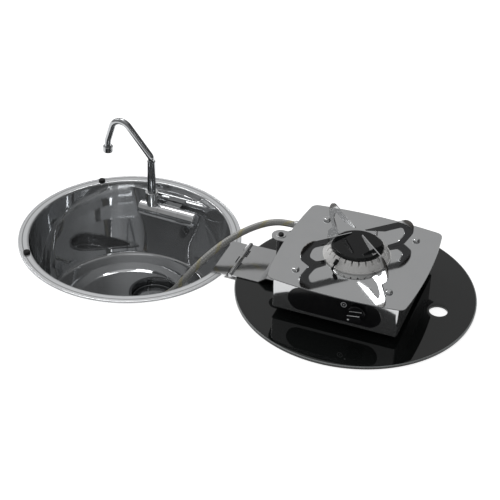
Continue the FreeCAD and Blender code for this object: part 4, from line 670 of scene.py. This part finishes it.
def bowl_points(sink):
    """Pressed bowl as one closed skin: inside floor, wall, rim, lip, then back down the outside.

    Each ring is a circle of the profile's radius and height. On the floor the circles slide from the sink's
    middle towards the waste, so that the innermost one is the edge of the waste hole. Where a point reaches
    past the facet's plane it is drawn back to it, with a soft corner; over the ledge the plane moves out of
    reach along a smooth step. Inside, the wall swells by the bulge times 4 s (1 - s), where s is the share of
    the depth.
    """
    floor = -(sink.depth + sink.floor_drop)
    foot, top, rim = -sink.depth, sink.rim_height, sink.rim_radius
    mouth, wall, back = sink.mouth_radius, sink.mouth_radius - sink.wall_lean, sink.foot_radius
    inside = rounded([
        (WASTE_HOLE, floor), (FLOOR_FLAT, floor, 6 * MM), (FLOOR_RING, foot, 5 * MM), (wall, foot, 6 * MM),
        (mouth, top, 4 * MM), (rim - 4.6 * MM, top, 0.3 * MM), (rim - 4.2 * MM, top - 0.35 * MM, 0.3 * MM),
        (rim - 3.6 * MM, top - 0.35 * MM, 0.3 * MM), (rim - 3.2 * MM, top - 0.05 * MM, 0.5 * MM),
        (rim, top - 0.1 * MM, 2.4 * MM), (rim, 0.0, 0.2 * MM), (rim - SHEET, 0.0),
    ])
    outside = rounded([
        (rim - SHEET, 0.0), (rim - SHEET, top - SHEET, 1.2 * MM), (mouth + SHEET, top - SHEET, 2.8 * MM),
        (back, foot - SHEET, 16.2 * MM), (BACK_RING + SHEET, foot - SHEET, 6 * MM),
        (BACK_FLAT + SHEET, floor - SHEET, 5 * MM), (WASTE_HOLE, floor - SHEET),
    ])
    cosine, sine = round_angles(BOWL_COLUMNS)
    normal = np.array([np.cos(FACET_TURN), np.sin(FACET_TURN)])
    ledge_zone, ledge_reach, ledge_rows = 20 * MM, 1.6 * MM, 18
    ledge_half, ledge_release, corner_softness = 0.7 * MM, 40 * MM, 1.3 * MM
    inside_step, outside_step = 3.2 * MM, 4.5 * MM
    skins = []
    for profile, shift in ((divided(inside, inside_step), 0.0), (divided(outside, outside_step), SHEET)):
        ledge = sink.facet_ledge + shift
        wall_rows = (profile[:, 1] < 0) & (profile[:, 1] > -ledge_zone) & (profile[:, 0] < rim - 2 * SHEET)
        if wall_rows.any():
            dense = np.linspace(-ledge - ledge_reach, -ledge + ledge_reach, ledge_rows)
            slope = (mouth + shift - (back if shift else wall)) / (top - foot)
            extra = np.stack([mouth + shift + slope * (dense - top), dense], axis=1)
            kept = ~(wall_rows & (np.abs(profile[:, 1] + ledge) < ledge_reach))
            merged = np.concatenate([profile[kept], extra])
            profile = merged[ring_order(profile, merged)]
        down = np.clip((top - profile[:, 1]) / (top - foot), 0.0, 1.0)
        swell = 4 * (0.0 if shift else sink.wall_bulge) * down * (1 - down)
        swell = np.where((profile[:, 0] > FLOOR_RING) & (profile[:, 0] < mouth), swell, 0.0)
        radius, height = (profile[:, 0] + swell)[:, None], profile[:, 1][:, None]
        share = np.clip((FLOOR_FLAT - radius) / (FLOOR_FLAT - WASTE_HOLE), 0.0, 1.0)
        x = share * WASTE_MIDDLE[0] + radius * cosine
        y = share * WASTE_MIDDLE[1] + radius * sine
        reach = x * normal[0] + y * normal[1]
        rise = np.clip((height + ledge + ledge_half) / (2 * ledge_half), 0.0, 1.0)
        limit = sink.facet_distance + shift + ledge_release * rise * rise * (3 - 2 * rise)
        past = corner_softness * np.logaddexp(0.0, (reach - limit) / corner_softness)
        over = np.where(radius > FLOOR_RING, past, 0.0)
        skins.append(np.stack([x - over * normal[0], y - over * normal[1], height + 0.0 * x], axis=-1))
    return np.concatenate([skins[0], skins[1][1:]])


def ring_order(line, spots):
    """Order of spots by the length along a line at which each lies nearest to it."""
    lengths = np.r_[0.0, np.cumsum(np.linalg.norm(np.diff(line, axis=0), axis=1))]
    start, span = line[:-1], np.diff(line, axis=0)
    offset = spots[:, None] - start[None]
    share = np.clip((offset * span).sum(-1) / np.maximum((span * span).sum(-1), 1e-18), 0.0, 1.0)
    gap = np.linalg.norm(offset - share[..., None] * span, axis=-1)
    nearest = gap.argmin(axis=1)
    along = lengths[nearest] + share[np.arange(len(spots)), nearest] * np.diff(lengths)[nearest]
    return along.argsort(kind="stable")


def glass_points(lid):
    """Disc with a finger hole as one closed skin: the hole's circle slides and grows into the rim's.

    A ring at share s has its middle at (1 - s) times the hole's reach; both edges are quarter circles.
    """
    low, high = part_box("glass_lid")
    middle = (low + high) / 2
    bevel = lid.glass_bevel
    share = np.linspace(0.0, 1.0, GLASS_ROWS)
    hole, rim = lid.hole_radius, lid.glass_radius
    top = np.stack([share, hole + bevel + share * (rim - hole - 2 * bevel), high.z + 0.0 * share], axis=1)
    under = np.stack([share, top[:, 1], low.z + 0.0 * share], axis=1)[::-1]
    turn = np.linspace(0.0, np.pi / 2, BEVEL_ROWS)
    at_rim, at_hole = 1 + 0 * turn, 0 * turn
    rising, falling = bevel * np.sin(turn), bevel * np.cos(turn)
    outer_high = np.stack([at_rim, rim - bevel + rising, high.z - bevel + falling], axis=1)
    outer_low = np.stack([at_rim, rim - bevel + falling, low.z + bevel - rising], axis=1)
    inner_low = np.stack([at_hole, hole + bevel - rising, low.z + bevel - falling], axis=1)
    inner_high = np.stack([at_hole, hole + bevel - falling, high.z - bevel + rising], axis=1)
    rings = np.concatenate([top, outer_high[1:], outer_low, under[1:], inner_low[1:], inner_high[:-1]])
    cosine, sine = round_angles(GLASS_COLUMNS)
    x = middle.x + (1 - rings[:, :1]) * lid.hole_reach + rings[:, 1:2] * cosine
    y = middle.y + rings[:, 1:2] * sine
    return np.stack([x, y, rings[:, 2:] + 0.0 * x], axis=-1)


def bar_points(start, end, lift, width, height):
    """Slim half-round bar from start to end: an ellipse is carried along the line and shrinks to its two ends.

    The ellipse has its width across the bar and its height along the lift, and at a share s of the length its
    size is the fourth root of 1 - (2s - 1) to the power of 16, so the ends are blunt and rounded.
    """
    start, end, lift = (np.array(vector, float) for vector in (start, end, lift))
    along = (end - start) / np.linalg.norm(end - start)
    lift = lift / np.linalg.norm(lift)
    across = np.cross(lift, along)
    share = (1 - np.cos(np.linspace(0.0, np.pi, BAR_ROWS))) / 2
    swell = (1 - np.abs(2 * share - 1) ** 16) ** 0.25
    cosine, sine = round_angles(BAR_SECTION)
    middle = start + share[:, None] * (end - start)
    section = across * (width / 2 * cosine)[:, None] + lift * (height * sine)[:, None]
    return middle[:, None] + swell[:, None, None] * section[None]


def hoop_points(middle, facing, upward, radius, width, height):
    """Raised ring on a flat face: a half-round section of this width and height carried round a circle."""
    middle, facing, upward = (np.array(vector, float) for vector in (middle, facing, upward))
    sideways = np.cross(facing, upward)
    cosine, sine = round_angles(HOOP_COLUMNS)
    turn_cosine, turn_sine = round_angles(HOOP_SECTION)
    spoke = sideways * cosine[:, None] + upward * sine[:, None]
    reach = radius + width / 2 * turn_cosine
    ring = middle + reach[None, :, None] * spoke[:, None]
    return ring + (height * turn_sine)[None, :, None] * facing


def route_line(name, route, resolution):
    """Points along the NURBS spline that has the route as its control points."""
    curve = bpy.data.curves.new(name, "CURVE")
    curve.dimensions = "3D"
    spline = curve.splines.new("NURBS")
    spline.points.add(len(route) - 1)
    spline.points.foreach_set("co", np.c_[route, np.ones(len(route))].ravel())
    spline.order_u = 3
    spline.use_endpoint_u = True
    spline.resolution_u = resolution
    holder = bpy.data.objects.new(name, curve)
    mesh = bpy.data.meshes.new_from_object(holder)
    line = np.empty(len(mesh.vertices) * 3)
    mesh.vertices.foreach_get("co", line)
    bpy.data.objects.remove(holder)
    bpy.data.curves.remove(curve)
    bpy.data.meshes.remove(mesh)
    return line.reshape(-1, 3)


def spaced(line, step):
    """The same line at even steps, and the length at each point."""
    lengths = np.r_[0.0, np.cumsum(np.linalg.norm(np.diff(line, axis=0), axis=1))]
    stops = np.linspace(0.0, lengths[-1], int(lengths[-1] / step) + 1)
    return np.stack([np.interp(stops, lengths, line[:, axis]) for axis in range(3)], axis=1), stops


def hose_points(hose, line, stops):
    """Braided tube: a circle carried square to the line, its radius lifted where a strand lies on top.

    Two families of helices cross; each has a sine that is nought between its strands. At each point
    the radius is that of the core plus the strand's height times the root of the smaller sine. Over the last
    length at each end the radius shrinks a little.
    """
    tangent = np.gradient(line, axis=0)
    tangent /= np.linalg.norm(tangent, axis=1, keepdims=True)
    guide = np.array([1.0, -1.0, 1.0]) / np.sqrt(3.0)
    side = guide - (tangent @ guide)[:, None] * tangent
    side /= np.linalg.norm(side, axis=1, keepdims=True)
    other = np.cross(tangent, side)
    count = STRAND_POINTS * hose.strands
    strand_height, end_length, end_share = 0.35 * MM, 2 * MM, 0.9
    around = np.arange(count) / count
    cosine, sine = round_angles(count)
    turns = stops[:, None] / hose.pitch
    first = np.sin((turns + around) * hose.strands * np.pi)
    second = np.sin((turns - around) * hose.strands * np.pi)
    lift = np.sqrt(np.minimum(np.abs(first), np.abs(second)))
    radius = hose.diameter / 2 - strand_height + strand_height * lift
    ends = np.minimum(stops, stops[-1] - stops)[:, None] / end_length
    radius = radius * np.clip(end_share + (1 - end_share) * ends, end_share, 1.0)
    points = line[:, None] + radius[..., None] * (
        cosine[:, None] * side[:, None] + sine[:, None] * other[:, None])
    u, v = np.meshgrid(stops, np.arange(count + 1) / count, indexing="ij")
    return points, np.stack([u, v], axis=-1)


# Operators

class GALLEY_OT_finishes(bpy.types.Operator):
    """Give every carried-over solid its finish"""

    bl_idname = "galley.finishes"
    bl_label = "Finishes"

    def execute(self, context):
        glossy = moulded_black("gloss_plastic", 0.08, 0.16, (0.010, 0.010, 0.011), (0.016, 0.016, 0.017))
        moulded = moulded_black("moulded_plastic", 0.30, 0.42, (0.014, 0.014, 0.015), (0.024, 0.024, 0.025))
        rubber = moulded_black("soft_rubber", 0.55, 0.70, (0.012, 0.012, 0.012), (0.022, 0.022, 0.022))
        # The tap's chrome in two copies: a paler one on the body as painted light, a darker one on the spout as
        # painted shade.
        body = plated_chrome("lit_body_chrome", (0.80, 0.81, 0.82), (0.72, 0.73, 0.74))
        spout = plated_chrome("shaded_spout_chrome", (0.47, 0.48, 0.49), (0.42, 0.43, 0.44))
        finishes = {
            mirror_steel(): ["sink_bowl"],
            waste_steel(): ["drain_cup", "drain_strainer"],
            bright_plate(): ["plate_screws"],
            case_steel(): ["hob_case"],
            support_steel(): [
                "pan_support_front_left", "pan_support_front_right", "pan_support_back_left",
                "pan_support_back_right"],
            edge_shaded_plate(): ["top_plate"],
            leaf_steel(): ["hinge_leaf_sink", "hinge_leaf_lid", "hinge_pin"],
            satin_sheet(): ["burner_carrier", "hose_ferrule_sink", "hose_ferrule_hob", "thermocouple"],
            igniter_shell(): ["igniter_body"],
            body: ["tap_head", "tap_body", "water_knob", "spout_collar", "tap_wall_nut"],
            spout: ["spout_riser", "spout_tube", "aerator_ring"],
            dark_glass(): ["glass_lid"],
            cast_aluminium(): ["burner_crown", "burner_base"],
            gloss_enamel(): ["burner_cap"],
            glossy: ["control_panel", "igniter_button", "spark_electrode", "gas_knob"],
            moulded: [
                "lid_spacers", "drain_backnut", "drain_nut", "drain_tail", "igniter_nut", "aerator_insert"],
            rubber: [
                "rim_gasket", "rim_bumpers", "drain_seal", "drain_washer", "tap_gasket", "gland_seal_inner",
                "gland_seal_outer"],
            machined_brass(): [
                "gland_body", "gland_nut", "gas_inlet", "gas_valve", "supply_pipe", "burner_pipe", "injector",
                "valve_spindle", "water_spindle"],
            wire_braid(): ["gas_hose"],
        }
        for finish, nodes in finishes.items():
            for node in nodes:
                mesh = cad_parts[node].data
                mesh.materials.clear()
                mesh.materials.append(finish)
        bare = set(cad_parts) - {node for nodes in finishes.values() for node in nodes}
        if bare:
            raise RuntimeError(f"no finish for {sorted(bare)}")
        return {"FINISHED"}


class GALLEY_OT_bowl(bpy.types.Operator):
    """Make the pressed bowl as one smooth skin"""

    bl_idname = "galley.bowl"
    bl_label = "Bowl"

    def execute(self, context):
        points = bowl_points(context.scene.galley_sink)
        piece = grid_piece("bowl_skin", points[::-1], close_rows=True)
        piece.data.materials.append(bpy.data.materials["mirror_steel"])
        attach(piece, "sink")
        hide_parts("sink_bowl")
        return {"FINISHED"}


class GALLEY_OT_glass(bpy.types.Operator):
    """Make the glass disc with its ground edge and finger hole"""

    bl_idname = "galley.glass"
    bl_label = "Glass"

    def execute(self, context):
        piece = grid_piece("glass_disc", glass_points(context.scene.galley_lid)[::-1], close_rows=True)
        piece.data.materials.append(bpy.data.materials["dark_glass"])
        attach(piece, "lid")
        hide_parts("glass_lid")
        return {"FINISHED"}


class GALLEY_OT_hose(bpy.types.Operator):
    """Make the braided gas hose"""

    bl_idname = "galley.hose"
    bl_label = "Gas hose"

    def execute(self, context):
        hose = context.scene.galley_hose
        line, stops = spaced(route_line("hose_route", HOSE_ROUTE, ROUTE_POINTS), 0.45 * MM)
        points, uv = hose_points(hose, line, stops)
        piece = grid_piece("hose_braid", points, uv)
        piece.data.materials.append(bpy.data.materials["wire_braid"])
        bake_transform(piece)
        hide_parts("gas_hose")
        return {"FINISHED"}


class GALLEY_OT_knob_trim(bpy.types.Operator):
    """Lay two bright bars, painted highlights of the grip's edges, and a pointer on the gas knob's grip"""

    bl_idname = "galley.knob_trim"
    bl_label = "Knob trim"

    def execute(self, context):
        controls = context.scene.galley_controls
        low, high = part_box("gas_knob")
        middle = Vector(((low.x + high.x) / 2, low.y, (low.z + high.z) / 2))
        along = Vector((np.cos(controls.grip_turn), 0.0, np.sin(controls.grip_turn)))
        upward = Vector((-along.z, 0.0, along.x))
        end_gap, back_gap, front_gap = 0.0008, 0.0042, 0.0011
        bar_width, bar_height = 0.0016, 0.0005
        pointer_outer, pointer_inner, pointer_drop = 0.0108, 0.0075, 0.0016
        pointer_width, pointer_height = 0.0026, 0.0003
        edge = middle + upward * controls.grip_half_width
        half = along * (controls.grip_half_length - end_gap)
        back = Vector((0.0, controls.grip_height - back_gap, 0.0))
        front = Vector((0.0, front_gap, 0.0))
        low_line = middle - upward * pointer_drop
        # The two bars are painted highlights along the grip's edges.
        pieces = {
            "knob_highlight_back": bar_points(edge - half + back, edge + half + back, upward, bar_width, bar_height),
            "knob_highlight_front": bar_points(
                edge - half + front, edge + half + front, upward, bar_width, bar_height),
            "knob_pointer": bar_points(
                low_line - along * pointer_outer, low_line - along * pointer_inner, (0.0, -1.0, 0.0),
                pointer_width, pointer_height),
        }
        foil_and_highlight = pointer_foil_and_highlight()
        for name, points in pieces.items():
            piece = grid_piece(name, points)
            piece.data.materials.append(foil_and_highlight)
            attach(piece, "gas_knob")
        return {"FINISHED"}


class GALLEY_OT_panel_mark(bpy.types.Operator):
    """Set a plain ring with a dot in it on the control panel beside the knob"""

    bl_idname = "galley.panel_mark"
    bl_label = "Panel mark"

    def execute(self, context):
        controls = context.scene.galley_controls
        spot = (controls.mark_place[0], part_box("control_panel")[0].y, controls.mark_place[1])
        facing, upward = (0.0, -1.0, 0.0), (0.0, 0.0, 1.0)
        line_width, dot_radius, ink_height = 0.0016, 0.0007, 0.00012
        pieces = {
            "panel_ring": hoop_points(spot, facing, upward, controls.mark_radius, line_width, ink_height),
            "panel_dot": hoop_points(spot, facing, upward, dot_radius, 2 * dot_radius, ink_height),
        }
        ink = printed_mark()
        for name, points in pieces.items():
            piece = grid_piece(name, points, close_rows=True)
            piece.data.materials.append(ink)
            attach(piece, "lid")
        return {"FINISHED"}


class GALLEY_OT_stage(bpy.types.Operator):
    """Make the worktop, the lamps, the world and the camera"""

    bl_idname = "galley.stage"
    bl_label = "Stage"

    def execute(self, context):
        stage = context.scene.galley_stage
        rings = np.array([*WORKTOP_RINGS, stage.worktop_radius])[:, None]
        cosine, sine = round_angles(WORKTOP_COLUMNS)
        flat = np.stack([rings * cosine, rings * sine, stage.worktop_level + 0.0 * rings * cosine], axis=-1)
        worktop = grid_piece("worktop", flat)
        worktop.data.materials.append(worktop_white())
        self.light_world(context.scene)
        self.add_lamps(context.scene, stage)
        self.add_camera(context.scene, stage)
        context.scene.view_settings.view_transform = "Standard"
        return {"FINISHED"}

    def light_world(self, scene):
        """Grey studio round the object: brighter behind it, in front, on the left and overhead."""
        world = bpy.data.worlds.new("studio")
        scene.world = world
        world.use_nodes = True
        graph = Graph(world.node_tree)
        x, y, z = graph.parts(graph.place("Generated"))
        flat = ((x * x + y * y) ** 0.5).most(0.01)
        cosines = {
            "rear": (STUDIO_REAR[0] * x + STUDIO_REAR[1] * y) / flat,
            "front": (0 - y) / flat, "left": (0 - x) / flat, "top": z}
        level = STUDIO_BASE
        for side, (strength, low, high) in STUDIO_SIDES.items():
            level = strength * cosines[side].between(low, high) + level
        shader = graph.add("ShaderNodeBackground", inputs={"Color": (1.0, 1.0, 1.0), "Strength": level})
        node = graph.tree.nodes.new("ShaderNodeOutputWorld")
        graph.tree.links.new(shader.socket, node.inputs["Surface"])

    def add_lamps(self, scene, stage):
        for name, spot, width, height, power in LAMPS:
            lamp = bpy.data.lights.new(name, "AREA")
            lamp.shape = "RECTANGLE"
            lamp.size, lamp.size_y = width, height
            lamp.energy = power * stage.light_level
            holder = bpy.data.objects.new(name, lamp)
            holder.location = spot
            aim = Vector(stage.target) - Vector(spot)
            holder.rotation_euler = aim.to_track_quat("-Z", "Y").to_euler()
            scene.collection.objects.link(holder)

    def add_camera(self, scene, stage):
        eye, target = Vector(stage.eye), Vector(stage.target)
        forward = (target - eye).normalized()
        right = forward.cross(Vector((0.0, 0.0, 1.0))).normalized()
        up = right.cross(forward)
        turned = Matrix.Rotation(stage.roll, 3, -forward)
        right, up = turned @ right, turned @ up
        data = bpy.data.cameras.new("camera")
        data.sensor_width = 36.0
        data.lens = stage.lens
        camera = bpy.data.objects.new("camera", data)
        camera.matrix_world = Matrix((
            (right.x, up.x, -forward.x, eye.x),
            (right.y, up.y, -forward.y, eye.y),
            (right.z, up.z, -forward.z, eye.z),
            (0.0, 0.0, 0.0, 1.0),
        ))
        scene.collection.objects.link(camera)
        scene.camera = camera


class GALLEY_PT_panel(bpy.types.Panel):
    """Sidebar panel with the settings and the operators"""

    bl_idname = "GALLEY_PT_panel"
    bl_label = "Hob and sink"
    bl_space_type = "VIEW_3D"
    bl_region_type = "UI"
    bl_category = "Galley"

    def draw(self, context):
        for group in GROUPS:
            settings = getattr(context.scene, group)
            box = self.layout.box()
            for name in settings.__annotations__:
                box.prop(settings, name)
        for operator in OPERATORS:
            self.layout.operator(operator.bl_idname)


GROUPS = {
    "galley_sink": SinkSettings,
    "galley_lid": LidSettings,
    "galley_hose": HoseSettings,
    "galley_controls": ControlSettings,
    "galley_stage": StageSettings,
}
OPERATORS = [
    GALLEY_OT_stage, GALLEY_OT_finishes, GALLEY_OT_hose, GALLEY_OT_bowl, GALLEY_OT_glass, GALLEY_OT_knob_trim,
    GALLEY_OT_panel_mark,
]


def register():
    for name, group in GROUPS.items():
        bpy.utils.register_class(group)
        setattr(bpy.types.Scene, name, PointerProperty(type=group))
    for operator in OPERATORS:
        bpy.utils.register_class(operator)
    bpy.utils.register_class(GALLEY_PT_panel)


def unregister():
    bpy.utils.unregister_class(GALLEY_PT_panel)
    for operator in reversed(OPERATORS):
        bpy.utils.unregister_class(operator)
    for name, group in GROUPS.items():
        delattr(bpy.types.Scene, name)
        bpy.utils.unregister_class(group)


def main():
    register()
    for operator in OPERATORS:
        namespace, name = operator.bl_idname.split(".")
        getattr(getattr(bpy.ops, namespace), name)()


if __name__ == "__main__":
    main()
